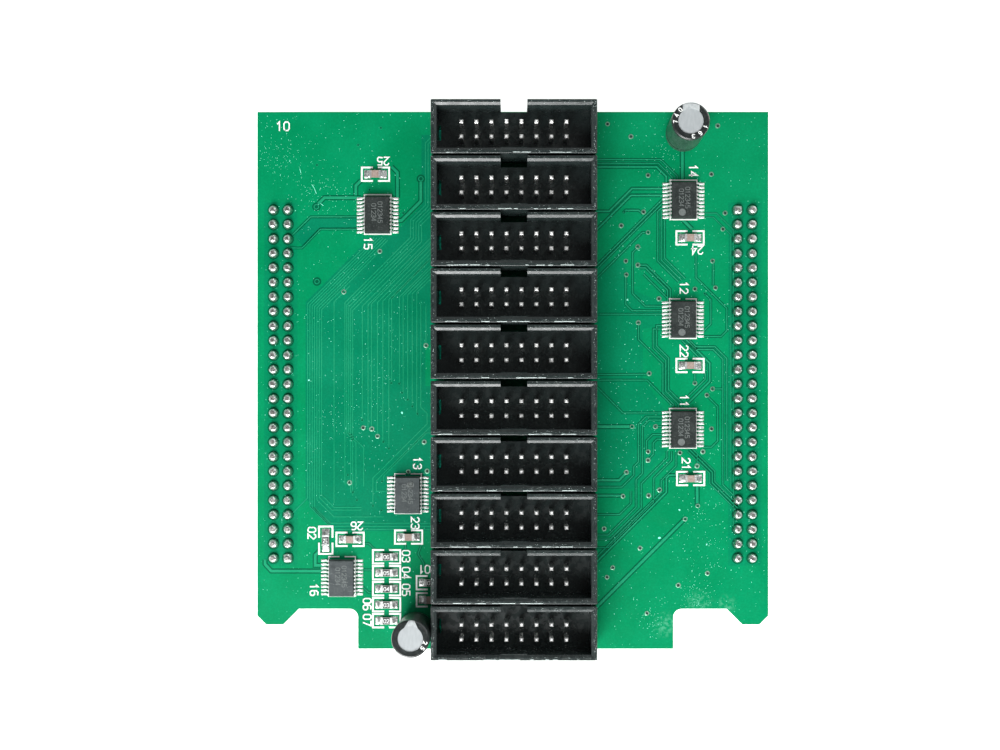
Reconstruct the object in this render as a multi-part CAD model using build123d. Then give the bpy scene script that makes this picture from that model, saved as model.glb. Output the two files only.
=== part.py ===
from build123d import *

import math
import os

# A ribbon-cable driver board. Ten keyed box headers stand down its middle, six buffer chips and
# their passives sit beside them, and two 50-way sockets under its edges plug it onto a card below.
# Millimetres. +X runs along the headers, +Y across them, +Z up. The origin is under the middle of
# the board, on the surface that the two sockets stand on.

# Stack of heights
SOCKET_HEIGHT = 8.5
BOARD_THICKNESS = 1.6
BOARD_BOTTOM = SOCKET_HEIGHT
BOARD_TOP = BOARD_BOTTOM + BOARD_THICKNESS

# Board outline
BOARD_LENGTH = 94.06
BOARD_WIDTH = 89.5
TAB_WIDTH = 55.2
TAB_CENTRE_X = 0.5
TAB_DROP = 7.0
TAB_FILLET = 1.5
LEG_END_RISE = 4.26
LEG_OUTER_X = 43.2
LEG_INNER_X = 40.2

# Pins and plated holes, on the common 2.54 grid
PITCH = 2.54
PIN_WIDTH = 0.64
HOLE_RADIUS = 0.5
LEAD_HOLE_RADIUS = 0.4
VIA_RADIUS = 0.2
SOLDER_GAP = 0.01

# Box headers, 2 x 8 ways
HEADER_COUNT = 10
HEADER_PITCH = 9.44
HEADER_CENTRE = (0.2, 0.04)
HEADER_WAYS = 8
HEADER_LENGTH = 27.9
HEADER_WIDTH = 9.1
HEADER_HEIGHT = 9.0
HEADER_WALL = 0.96
HEADER_FEET = 0.75
HEADER_FLOOR_TOP = 3.2
HEADER_MOUTH_DEPTH = 0.28
HEADER_MOUTH_FLARE = 0.43
HEADER_EDGE = 0.16
HEADER_CORNER = 0.2
KEY_WIDTH = 4.5
KEY_RIB = 0.12
PIN_ROW_SHIFT = -0.1
PIN_TIP_HEIGHT = 7.5
PIN_TAIL = 1.3
PIN_POINT = 0.15
PIN_FIT = 0.01

# Sockets, 2 x 25 ways
SOCKET_CENTRE_X = 40.64
SOCKET_CENTRE_Y = -0.66
SOCKET_ROWS = 25
SOCKET_LENGTH = 64.0
SOCKET_WIDTH = 5.0
SOCKET_FLOOR = 0.9
CONTACT_WIDTH = 0.6
CONTACT_TAIL = 1.2
DOME_RADIUS = 0.8
DOME_HEIGHT = 0.98

# Buffer chips, 20 leads
PACKAGE_WIDTH = 4.4
PACKAGE_LENGTH = 6.5
PACKAGE_BOTTOM = 0.12
PACKAGE_TOP = 1.35
PACKAGE_DRAFT = 0.14
PACKAGE_END_DRAFT = 0.26
LEAD_PITCH = 0.65
LEADS_PER_SIDE = 10
LEAD_WIDTH = 0.28
LEAD_THICKNESS = 0.13
LEAD_REACH = 3.2
PAD_REACH = 3.68
PASTE = 0.05

# Chip capacitors and resistors, 2.0 x 1.25
CHIP_LENGTH = 2.0
CHIP_WIDTH = 1.25
CAPACITOR_THICKNESS = 0.62
RESISTOR_THICKNESS = 0.45
TERMINAL_LENGTH = 0.38
TERMINAL_PLATING = 0.03
COAT_THICKNESS = 0.03
COAT_LENGTH = 1.2
CHIP_PAD_REACH = 2.0
CHIP_PAD_WIDTH = 1.45

# Radial electrolytic capacitors
CAN_RADIUS = 3.02
CAN_WALL = 0.2
CAN_HEIGHT = 11.0
CAN_BASE = 0.3
GROOVE_HEIGHT = 1.7
GROOVE_DEPTH = 0.25
SLEEVE_WALL = 0.12
SLEEVE_LIP_RADIUS = 2.1
CAP_LEAD_RADIUS = 0.25
CAP_LEAD_SPACING = 2.5
CAP_LEAD_TAIL = 1.3
WINDING_RADIUS = 2.6

# Places on the board, (x, y), with a turn in degrees where the piece has one
BUFFERS = {
    1: (29.8, -8.55, 180),
    2: (29.8, 10.65, 180),
    3: (-18.35, -20.0, 0),
    4: (29.9, 31.45, 180),
    5: (-23.65, 28.9, 0),
    6: (-29.9, -34.5, 0),
}
CHIP_CAPACITORS = [
    (31.15, -17.2, 0),
    (31.05, 2.6, 0),
    (-18.25, -27.45, 0),
    (31.05, 24.95, 0),
    (-24.05, 36.1, 0),
    (-28.5, -27.85, 0),
    (-14.45, -38.45, 0),
]
RESISTOR_COLUMN_X = -22.1
RESISTOR_COLUMN_TOP_Y = -30.9
RESISTOR_COLUMN_PITCH = 2.8
CHIP_RESISTORS = [(-14.45, -35.45, 0), (-32.75, -28.0, 90)] + [
    (RESISTOR_COLUMN_X, RESISTOR_COLUMN_TOP_Y - RESISTOR_COLUMN_PITCH * row, 0) for row in range(5)
]
# x, y, direction of lean and angle of lean, in degrees
ELECTROLYTICS = {
    "upper": (29.9, 43.2, 220, 3.0),
    "lower": (-16.95, -43.7, 90, 4.5),
}
VIAS_LEFT = [
    (-23.3, 22.6), (-29.6, 15.5), (-15.2, 6.1), (-26.2, -8.3), (-24.7, -8.5), (-23.7, -9.8),
    (-15.5, -10.8), (-28.6, -17.9), (-18.3, -16.0), (-15.0, -15.9),
]
VIAS_UPPER_RIGHT = [
    (16.6, 44.9), (20.7, 42.7), (35.9, 44.6), (34.8, 36.1), (23.7, 35.9), (19.0, 27.1),
    (22.9, 29.5), (23.7, 25.9), (21.9, 23.4), (19.8, 20.9), (21.9, 20.2), (19.9, 18.5),
    (37.2, 29.3), (36.8, 26.5), (35.0, 20.9), (31.9, 16.0), (35.5, 16.2), (25.6, 14.3),
]
VIAS_MIDDLE_RIGHT = [
    (22.0, 10.1), (23.9, 1.2), (31.9, -0.5), (35.0, -1.5), (34.0, -2.6), (20.9, -8.1),
    (25.0, -8.1), (34.8, -8.5), (23.7, -12.5), (23.7, -14.0), (33.3, -12.5), (29.3, -12.7),
    (32.3, -15.0), (19.9, -16.1),
]
VIAS_LOWER_RIGHT = [
    (19.3, -20.3), (25.7, -19.2), (23.8, -20.2), (32.4, -22.0), (30.2, -24.3), (16.0, -26.0),
    (22.3, -29.4), (17.5, -32.8), (16.5, -34.5), (34.1, -33.8), (29.0, -35.9), (23.5, -40.8),
]
VIAS = VIAS_LEFT + VIAS_UPPER_RIGHT + VIAS_MIDDLE_RIGHT + VIAS_LOWER_RIGHT


def save(name, pieces):
    """Writes one node: every solid of its pieces, kept apart."""
    solids = [solid for piece in pieces for solid in piece.solids()]
    export_step(Compound(solids), f"parts/{name}.step")


def place(shape, x, y, z=0, turn=0):
    return Pos(x, y, z) * Rot(0, 0, turn) * shape


def block(length, width, low, high, x=0, y=0):
    """A box centred on (x, y), from one height to another."""
    box = Box(length, width, high - low, align=(Align.CENTER, Align.CENTER, Align.MIN))
    return Pos(x, y, low) * box


def rod(radius, low, high, x=0, y=0):
    cylinder = Cylinder(radius, high - low, align=(Align.CENTER, Align.CENTER, Align.MIN))
    return Pos(x, y, low) * cylinder


def plate(points, width):
    """An outline in X and Z, given a width along Y."""
    return extrude(Plane.XZ * Polygon(*points, align=None), amount=width / 2, both=True)


def turned(points):
    """An outline in radius and height, spun about Z."""
    return revolve(Plane.XZ * Polygon(*points, align=None), Axis.Z)


def flared_mouth(length, width):
    """The cut that widens a header's mouth all round, up to its rim."""
    flare = math.degrees(math.atan2(HEADER_MOUTH_FLARE, HEADER_MOUTH_DEPTH))
    throat = Pos(0, 0, HEADER_HEIGHT - HEADER_MOUTH_DEPTH) * Rectangle(length, width)
    return extrude(throat, amount=HEADER_MOUTH_DEPTH, taper=-flare)


def row_offsets(count, pitch):
    return [pitch * (index - (count - 1) / 2) for index in range(count)]


def header_centres():
    x, y = HEADER_CENTRE
    return [(x, y - offset) for offset in row_offsets(HEADER_COUNT, HEADER_PITCH)]


def header_pins():
    """Pin places in one header, from its centre."""
    rows = [PIN_ROW_SHIFT + offset for offset in row_offsets(2, PITCH)]
    return [(x, y) for x in row_offsets(HEADER_WAYS, PITCH) for y in rows]


def socket_pins():
    return [(x, y) for x in row_offsets(2, PITCH) for y in row_offsets(SOCKET_ROWS, PITCH)]


def lead_pair(x, y):
    return [(x - CAP_LEAD_SPACING / 2, y), (x + CAP_LEAD_SPACING / 2, y)]


# ---- Circuit board ----


def board_outline():
    """A rectangle whose lower edge has a centre tab and a short leg at each corner."""
    half_x, half_y = BOARD_WIDTH / 2, BOARD_LENGTH / 2
    tab_low, tab_high = TAB_CENTRE_X - TAB_WIDTH / 2, TAB_CENTRE_X + TAB_WIDTH / 2
    notch_y = -half_y + TAB_DROP
    leg_y = -half_y + LEG_END_RISE
    outer_chamfer = half_x - LEG_OUTER_X
    slope = notch_y - leg_y

    def leg(side):
        """The corner leg from the notch outwards."""
        return [
            (side * (LEG_INNER_X - slope), notch_y),
            (side * LEG_INNER_X, leg_y),
            (side * LEG_OUTER_X, leg_y),
            (side * half_x, leg_y + outer_chamfer),
        ]

    points = [(tab_low, -half_y), (tab_high, -half_y), (tab_high, notch_y)]
    points += leg(1) + [(half_x, half_y), (-half_x, half_y)] + leg(-1)[::-1] + [(tab_low, notch_y)]
    outline = Polygon(*points, align=None)
    inner = [v for v in outline.vertices() if v.Y == notch_y and tab_low <= v.X <= tab_high]
    return fillet(inner, TAB_FILLET).face().outer_wire()


def board_holes():
    """Every plated hole as (x, y, radius)."""
    holes = [(x, y, VIA_RADIUS) for x, y in VIAS]
    for centre_x, centre_y in header_centres():
        holes += [(centre_x + x, centre_y + y, HOLE_RADIUS) for x, y in header_pins()]
    for side in (-1, 1):
        holes += [
            (side * SOCKET_CENTRE_X + x, SOCKET_CENTRE_Y + y, HOLE_RADIUS) for x, y in socket_pins()
        ]
    for x, y, _, _ in ELECTROLYTICS.values():
        holes += [(lead_x, lead_y, LEAD_HOLE_RADIUS) for lead_x, lead_y in lead_pair(x, y)]
    return holes


def circuit_board():
    walls = [
        Wire.make_circle(radius, Plane(origin=(x, y, 0))) for x, y, radius in board_holes()
    ]
    panel = Solid.extrude(Face(board_outline(), walls), (0, 0, BOARD_THICKNESS))
    return Pos(0, 0, BOARD_BOTTOM) * panel


# ---- Box headers ----


def header_housing():
    """A keyed tray on four feet, pierced by its pins, with its base at height 0."""
    inner_length = HEADER_LENGTH - 2 * HEADER_WALL
    inner_width = HEADER_WIDTH - 2 * HEADER_WALL
    tray = block(HEADER_LENGTH, HEADER_WIDTH, HEADER_FEET, HEADER_HEIGHT)
    tray = fillet(tray.edges().filter_by(Axis.Z), HEADER_CORNER)
    tray = fillet(tray.faces().sort_by(Axis.Z)[-1].edges(), HEADER_EDGE)
    tray -= block(inner_length, inner_width, HEADER_FLOOR_TOP, HEADER_HEIGHT)
    tray -= flared_mouth(inner_length, inner_width)
    tray += key_rib(inner_width)
    tray -= key_notch(inner_width)
    tray -= end_slot(inner_length)
    tray -= mould_marks()
    tray += header_feet()
    hole = PIN_WIDTH + 2 * PIN_FIT
    return tray - [block(hole, hole, 0, HEADER_HEIGHT, x, y) for x, y in header_pins()]


def key_notch(inner_width):
    """The plug's key way, open from the rim to the board."""
    middle = (inner_width + HEADER_WIDTH) / 4
    return block(KEY_WIDTH, HEADER_WALL, 0, HEADER_HEIGHT, 0, middle)


def key_rib(inner_width):
    """The low pad on the wall across from the key way."""
    top = HEADER_HEIGHT - HEADER_MOUTH_DEPTH
    middle = -(inner_width - KEY_RIB) / 2
    return block(KEY_WIDTH, KEY_RIB, HEADER_FLOOR_TOP, top, 0, middle)


def end_slot(inner_length):
    """The narrow slot through the floor, against the left end wall."""
    width, length, shift = 0.45, 2.5, 0.1
    return block(width, length, 0, HEADER_HEIGHT / 2, (width - inner_length) / 2, shift)


def mould_marks():
    """Shallow ejector marks in the floor, between the pin rows."""
    radius, depth = 0.6, 0.06
    low, high = HEADER_FLOOR_TOP - depth, HEADER_FLOOR_TOP + depth
    return [rod(radius, low, high, x, PIN_ROW_SHIFT) for x in (-2 * PITCH, 0, 2 * PITCH)]


def header_feet():
    length, width, x, y = 1.6, 1.8, 11.0, 3.2
    lift = HEADER_FEET
    return [block(length, width, 0, lift, i * x, j * y) for i in (-1, 1) for j in (-1, 1)]


def header_pin():
    """A square pin with pointed ends, through the board."""
    low = -BOARD_THICKNESS - PIN_TAIL
    pin = block(PIN_WIDTH, PIN_WIDTH, low, PIN_TIP_HEIGHT)
    ends = pin.faces().filter_by(Axis.Z)
    return chamfer(ends.edges(), PIN_POINT)


# ---- Sockets under the board ----


def socket_housing():
    """A long block with a pocket for each contact, and a funnel mouth under each pocket."""
    pocket_x, pocket_y, mouth, entry, lead_in = 1.44, 0.9, 1.3, 0.8, 0.25
    body = block(SOCKET_WIDTH, SOCKET_LENGTH, 0, SOCKET_HEIGHT)
    body = fillet(body.edges().filter_by(Axis.Z), 0.3)
    pocket = block(pocket_x, pocket_y, SOCKET_FLOOR, SOCKET_HEIGHT)
    pocket += block(entry, entry, 0, SOCKET_FLOOR)
    pocket += extrude(Rectangle(mouth, mouth), amount=lead_in, taper=45)
    return body - [Pos(x, y) * pocket for x, y in socket_pins()]


def socket_contact():
    """A fork that grips a pin from below, with a tail that passes up through the board."""
    tail, base, inner = 0.25, 0.65, 0.42
    top = SOCKET_HEIGHT + BOARD_THICKNESS + CONTACT_TAIL
    half = [
        (tail, top), (tail, 7.5), (base, 7.5), (base, 6.2), (0.38, 2.2), (0.6, 1.2),
        (0.42, 1.1), (0.16, 2.2), (inner, 6.2), (inner, 6.9),
    ]
    return plate(half + [(-x, z) for x, z in reversed(half)], CONTACT_WIDTH)


def dome_joint():
    """Solder that fills a plated hole and stands as a dome round the contact's tail."""
    barrel = HOLE_RADIUS - SOLDER_GAP
    dome = turned(
        [
            (0, -BOARD_THICKNESS), (barrel, -BOARD_THICKNESS), (barrel, 0), (DOME_RADIUS, 0),
            (0.79, 0.22), (0.74, 0.45), (0.63, 0.68), (0.48, 0.86), (0.3, DOME_HEIGHT),
            (0, DOME_HEIGHT),
        ]
    )
    return dome - block(0.5, CONTACT_WIDTH, -2 * BOARD_THICKNESS, 2 * DOME_HEIGHT)


def tail_joint(hole_radius, core):
    """Solder that fills a plated hole and climbs the tail below the board, minus its core."""
    barrel, pad, climb = hole_radius - SOLDER_GAP, hole_radius + 0.35, 0.95
    low = -BOARD_THICKNESS
    cone = turned(
        [
            (0, 0), (barrel, 0), (barrel, low), (pad, low), (pad - 0.12, low - 0.12),
            (barrel + 0.02, low - 0.4), (barrel - 0.08, low - climb), (0, low - climb),
        ]
    )
    return cone - core


# ---- Buffer chips ----


def package_blank():
    """A moulding with draft on all four sides, widest where the leads leave it."""
    middle = (PACKAGE_BOTTOM + PACKAGE_TOP) / 2

    def drafted(width, draft):
        half = width / 2
        top = half - draft
        return [
            (-half, middle), (-top, PACKAGE_BOTTOM), (top, PACKAGE_BOTTOM), (half, middle),
            (top, PACKAGE_TOP), (-top, PACKAGE_TOP),
        ]

    across = plate(drafted(PACKAGE_WIDTH, PACKAGE_DRAFT), 2 * PACKAGE_LENGTH)
    along = plate(drafted(PACKAGE_LENGTH, PACKAGE_END_DRAFT), 2 * PACKAGE_LENGTH)
    return across & Rot(0, 0, 90) * along


def gull_wing():
    """One lead, bent from the side of the package down to a flat foot."""
    root, knee, heel = PACKAGE_WIDTH / 2 - 0.3, 2.4, 2.68
    high = (PACKAGE_BOTTOM + PACKAGE_TOP + LEAD_THICKNESS) / 2
    t = LEAD_THICKNESS
    bend = t / 2
    return plate(
        [
            (root, high), (knee, high), (knee + bend, high - bend), (heel + bend, PASTE + t + bend),
            (heel + t, PASTE + t), (LEAD_REACH, PASTE + t), (LEAD_REACH, PASTE), (heel, PASTE),
            (heel - bend, PASTE + bend), (knee - bend, high - t - bend), (knee - t, high - t),
            (root, high - t),
        ],
        LEAD_WIDTH,
    )


def buffer_leads():
    lead = gull_wing()
    rows = row_offsets(LEADS_PER_SIDE, LEAD_PITCH)
    return [place(lead, 0, y, 0, turn) for turn in (0, 180) for y in rows]


def buffer_package():
    """The moulding, with a dimple at its first lead and a round ejector mark."""
    dimple_radius, dimple_depth, inset = 0.4, 0.06, 0.95
    mark_radius, mark_depth = 0.75, 0.03
    dimple_x, dimple_y = inset - PACKAGE_WIDTH / 2, PACKAGE_LENGTH / 2 - inset
    body = package_blank()
    body -= rod(dimple_radius, PACKAGE_TOP - dimple_depth, PACKAGE_TOP, dimple_x, dimple_y)
    body -= rod(mark_radius, PACKAGE_TOP - mark_depth, PACKAGE_TOP, 0.35, dimple_y - 0.1)
    return body - buffer_leads()


def lead_fillets():
    """Solder under each foot, with a slope at its toe."""
    heel, width = 2.66, 0.4
    foot_top = PASTE + LEAD_THICKNESS
    fillet_solid = plate(
        [
            (heel, 0), (PAD_REACH, 0), (PAD_REACH - 0.08, 0.04), (LEAD_REACH + 0.12, 0.1),
            (LEAD_REACH, foot_top), (LEAD_REACH, PASTE), (heel, PASTE),
        ],
        width,
    )
    rows = row_offsets(LEADS_PER_SIDE, LEAD_PITCH)
    return [place(fillet_solid, 0, y, 0, turn) for turn in (0, 180) for y in rows]


# ---- Chip capacitors and resistors ----


def chip_core(thickness):
    """A ceramic block, less the plating on its ends."""
    trim = 2 * TERMINAL_PLATING
    low = PASTE + TERMINAL_PLATING
    return block(CHIP_LENGTH - trim, CHIP_WIDTH - trim, low, PASTE + thickness - TERMINAL_PLATING)


def chip_terminals(thickness):
    """The two plated end caps that wrap round a chip."""
    middle = (CHIP_LENGTH - TERMINAL_LENGTH) / 2
    cap = block(TERMINAL_LENGTH, CHIP_WIDTH, PASTE, PASTE + thickness, middle)
    cap -= chip_core(thickness)
    return [cap, Rot(0, 0, 180) * cap]


def chip_fillets():
    """A sloped solder pool from each pad up to its terminal."""
    inner, end = 0.72, CHIP_LENGTH / 2
    pool = plate(
        [
            (inner, 0), (CHIP_PAD_REACH, 0), (CHIP_PAD_REACH - 0.05, 0.07), (end + 0.4, 0.16),
            (end + 0.14, 0.26), (end, 0.42), (end, PASTE), (inner, PASTE),
        ],
        CHIP_PAD_WIDTH,
    )
    return [pool, Rot(0, 0, 180) * pool]


def resistor_coat():
    top = PASTE + RESISTOR_THICKNESS - TERMINAL_PLATING
    return block(COAT_LENGTH, CHIP_WIDTH - 0.14, top, top + COAT_THICKNESS)


# ---- Electrolytic capacitors ----


def can():
    """An aluminium cup, mouth down, rolled into a groove above its rubber bung."""
    outer, inner = CAN_RADIUS, CAN_RADIUS - CAN_WALL
    groove, half = GROOVE_DEPTH, 0.35
    top = CAN_BASE + CAN_HEIGHT - SLEEVE_WALL
    return turned(
        [
            (inner, CAN_BASE), (outer, CAN_BASE), (outer, GROOVE_HEIGHT - half),
            (outer - groove, GROOVE_HEIGHT), (outer, GROOVE_HEIGHT + half), (outer, top - 0.3),
            (outer - 0.09, top - 0.09), (outer - 0.3, top), (0, top), (0, top - CAN_WALL),
            (inner, top - CAN_WALL), (inner, GROOVE_HEIGHT + half),
            (inner - groove, GROOVE_HEIGHT), (inner, GROOVE_HEIGHT - half),
        ]
    )


def sleeve():
    """A shrunk plastic sleeve, folded over the can's top edge and under its rim."""
    inner = CAN_RADIUS + SOLDER_GAP
    outer = inner + SLEEVE_WALL
    low, top = CAN_BASE - SLEEVE_WALL, CAN_BASE + CAN_HEIGHT
    under, fold = top - SLEEVE_WALL, 0.3
    groove, half = GROOVE_DEPTH / 2, 0.3
    return turned(
        [
            (outer - 0.3, low), (outer, low), (outer, GROOVE_HEIGHT - half),
            (outer - groove, GROOVE_HEIGHT), (outer, GROOVE_HEIGHT + half), (outer, top - fold),
            (outer - 0.09, top - 0.09), (outer - fold, top), (SLEEVE_LIP_RADIUS, top),
            (SLEEVE_LIP_RADIUS, under), (inner - fold, under), (inner - 0.08, under - 0.09),
            (inner, under - fold), (inner, GROOVE_HEIGHT + half),
            (inner - groove, GROOVE_HEIGHT), (inner, GROOVE_HEIGHT - half),
            (inner, low + SLEEVE_WALL), (outer - 0.3, low + SLEEVE_WALL),
        ]
    )


def bung():
    """A rubber plug that the can's groove bites into, with two lead holes."""
    radius = CAN_RADIUS - CAN_WALL - SOLDER_GAP
    waist, half, top = radius - GROOVE_DEPTH, 0.35, 2.5
    plug = turned(
        [
            (0, CAN_BASE), (radius, CAN_BASE), (radius, GROOVE_HEIGHT - half),
            (waist, GROOVE_HEIGHT), (radius, GROOVE_HEIGHT + half), (radius, top), (0, top),
        ]
    )
    passage = CAP_LEAD_RADIUS + 0.2
    return plug - [rod(passage, 0, 2 * top, x, y) for x, y in lead_pair(0, 0)]


def winding():
    """The wound foil element, a thick-walled roll above the bung."""
    low, high, bore = 3.1, 10.3, 0.5
    return rod(WINDING_RADIUS, low, high) - rod(bore, low, high)


def cap_leads():
    low, high = -BOARD_THICKNESS - CAP_LEAD_TAIL, 2.7
    return [rod(CAP_LEAD_RADIUS, low, high, x, y) for x, y in lead_pair(0, 0)]


def leaning(shape, x, y, toward, angle):
    """Tips a shape about the middle of its base, and lifts it until its edge is on the board."""
    heading = math.radians(toward)
    hinge = Axis((0, 0, 0), (-math.sin(heading), math.cos(heading), 0))
    lift = (CAN_RADIUS + SLEEVE_WALL) * math.sin(math.radians(angle))
    return Pos(x, y, BOARD_TOP + lift - CAN_BASE / 2) * shape.rotate(hinge, angle)


# ---- Assembly ----


def write_headers():
    housing, pin = header_housing(), header_pin()
    joint = tail_joint(HOLE_RADIUS, block(PIN_WIDTH, PIN_WIDTH, -2 * PIN_TIP_HEIGHT, 1))
    joints = []
    for number, (centre_x, centre_y) in enumerate(header_centres(), 1):
        spots = [(centre_x + x, centre_y + y) for x, y in header_pins()]
        save(f"header_{number:02d}_housing", [place(housing, centre_x, centre_y, BOARD_TOP)])
        save(f"header_{number:02d}_pins", [place(pin, x, y, BOARD_TOP) for x, y in spots])
        joints += [place(joint, x, y, BOARD_TOP) for x, y in spots]
    save("header_solder_joints", joints)


def write_sockets():
    housing, contact, dome = socket_housing(), socket_contact(), dome_joint()
    for name, side in (("left", -1), ("right", 1)):
        centre_x = side * SOCKET_CENTRE_X
        spots = [(centre_x + x, SOCKET_CENTRE_Y + y) for x, y in socket_pins()]
        save(f"{name}_socket_housing", [place(housing, centre_x, SOCKET_CENTRE_Y)])
        save(f"{name}_socket_contacts", [place(contact, x, y) for x, y in spots])
        save(f"{name}_socket_solder_joints", [place(dome, x, y, BOARD_TOP) for x, y in spots])


def write_chips():
    package, leads, fillets = buffer_package(), buffer_leads(), lead_fillets()
    solder = []
    for number, (x, y, turn) in BUFFERS.items():
        save(f"buffer_{number}_package", [place(package, x, y, BOARD_TOP, turn)])
        save(f"buffer_{number}_leads", [place(lead, x, y, BOARD_TOP, turn) for lead in leads])
        solder += [place(piece, x, y, BOARD_TOP, turn) for piece in fillets]

    def spread(pieces, spots):
        return [place(piece, x, y, BOARD_TOP, turn) for x, y, turn in spots for piece in pieces]

    save("chip_capacitor_bodies", spread([chip_core(CAPACITOR_THICKNESS)], CHIP_CAPACITORS))
    save("chip_capacitor_terminals", spread(chip_terminals(CAPACITOR_THICKNESS), CHIP_CAPACITORS))
    save("chip_resistor_substrates", spread([chip_core(RESISTOR_THICKNESS)], CHIP_RESISTORS))
    save("chip_resistor_coats", spread([resistor_coat()], CHIP_RESISTORS))
    save("chip_resistor_terminals", spread(chip_terminals(RESISTOR_THICKNESS), CHIP_RESISTORS))
    solder += spread(chip_fillets(), CHIP_CAPACITORS + CHIP_RESISTORS)
    save("chip_solder_joints", solder)


def write_electrolytics():
    joint = tail_joint(LEAD_HOLE_RADIUS, rod(CAP_LEAD_RADIUS, -2 * CAN_HEIGHT, 1))
    joints = []
    bodies = {"can": can(), "sleeve": sleeve(), "bung": bung(), "winding": winding()}
    for name, (x, y, toward, angle) in ELECTROLYTICS.items():
        for piece, shape in bodies.items():
            save(f"{name}_capacitor_{piece}", [leaning(shape, x, y, toward, angle)])
        save(f"{name}_capacitor_leads", [place(lead, x, y, BOARD_TOP) for lead in cap_leads()])
        joints += [place(joint, lead_x, lead_y, BOARD_TOP) for lead_x, lead_y in lead_pair(x, y)]
    save("capacitor_solder_joints", joints)


os.makedirs("parts", exist_ok=True)
save("circuit_board", [circuit_board()])
write_headers()
write_sockets()
write_chips()
write_electrolytics()
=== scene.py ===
import math
import random

import bpy
from mathutils import Matrix, Vector


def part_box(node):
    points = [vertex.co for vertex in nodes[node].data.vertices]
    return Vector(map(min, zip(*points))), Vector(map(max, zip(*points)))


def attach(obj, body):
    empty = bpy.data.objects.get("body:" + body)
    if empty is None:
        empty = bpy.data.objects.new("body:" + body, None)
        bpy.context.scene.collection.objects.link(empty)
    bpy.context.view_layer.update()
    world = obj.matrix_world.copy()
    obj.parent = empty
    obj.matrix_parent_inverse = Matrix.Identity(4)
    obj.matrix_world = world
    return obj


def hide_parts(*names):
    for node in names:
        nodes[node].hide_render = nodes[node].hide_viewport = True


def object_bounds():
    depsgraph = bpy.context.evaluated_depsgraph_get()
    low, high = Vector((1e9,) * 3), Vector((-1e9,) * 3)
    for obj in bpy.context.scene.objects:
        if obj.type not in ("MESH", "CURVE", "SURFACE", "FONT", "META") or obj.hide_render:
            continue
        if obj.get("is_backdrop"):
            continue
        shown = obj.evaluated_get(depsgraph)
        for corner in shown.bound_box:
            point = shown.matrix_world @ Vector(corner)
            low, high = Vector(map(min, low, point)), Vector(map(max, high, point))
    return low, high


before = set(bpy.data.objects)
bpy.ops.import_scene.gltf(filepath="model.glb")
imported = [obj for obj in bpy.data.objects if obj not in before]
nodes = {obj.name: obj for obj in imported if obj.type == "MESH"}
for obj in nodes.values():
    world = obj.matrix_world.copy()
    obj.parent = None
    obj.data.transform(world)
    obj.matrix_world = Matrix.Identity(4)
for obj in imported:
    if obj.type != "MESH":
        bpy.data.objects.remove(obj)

# A ribbon-cable driver board: the CAD frame with its finishes, and the fine layers that lie on it.
# Plan places and sizes below are in millimetres on the board, and MM turns them into metres.
MM = 0.001
cad_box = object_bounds()
dice = random.Random(20)



def box_mm(name):
    """A CAD node's lowest and highest corner, in millimetres."""
    low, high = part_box(name)
    return low / MM, high / MM


BOARD_LOW, BOARD_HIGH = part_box("circuit_board")
TOP = BOARD_HIGH.z / MM
BOTTOM = BOARD_LOW.z / MM
HEADERS = range(1, 11)
HOUSINGS = [box_mm(f"header_{number:02d}_housing") for number in HEADERS]
CHIP_NODES = ("chip_capacitor_bodies", "chip_resistor_substrates")
LARGEST_VIA = 0.3

# Thin layers, as heights above the board's face
BED = 0.006
COPPER = 0.035
MASK_SHOULDER = 0.035
INK = 0.055
TIN = 0.05
FIGURE = 0.006


# ---- Mesh building ----


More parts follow.
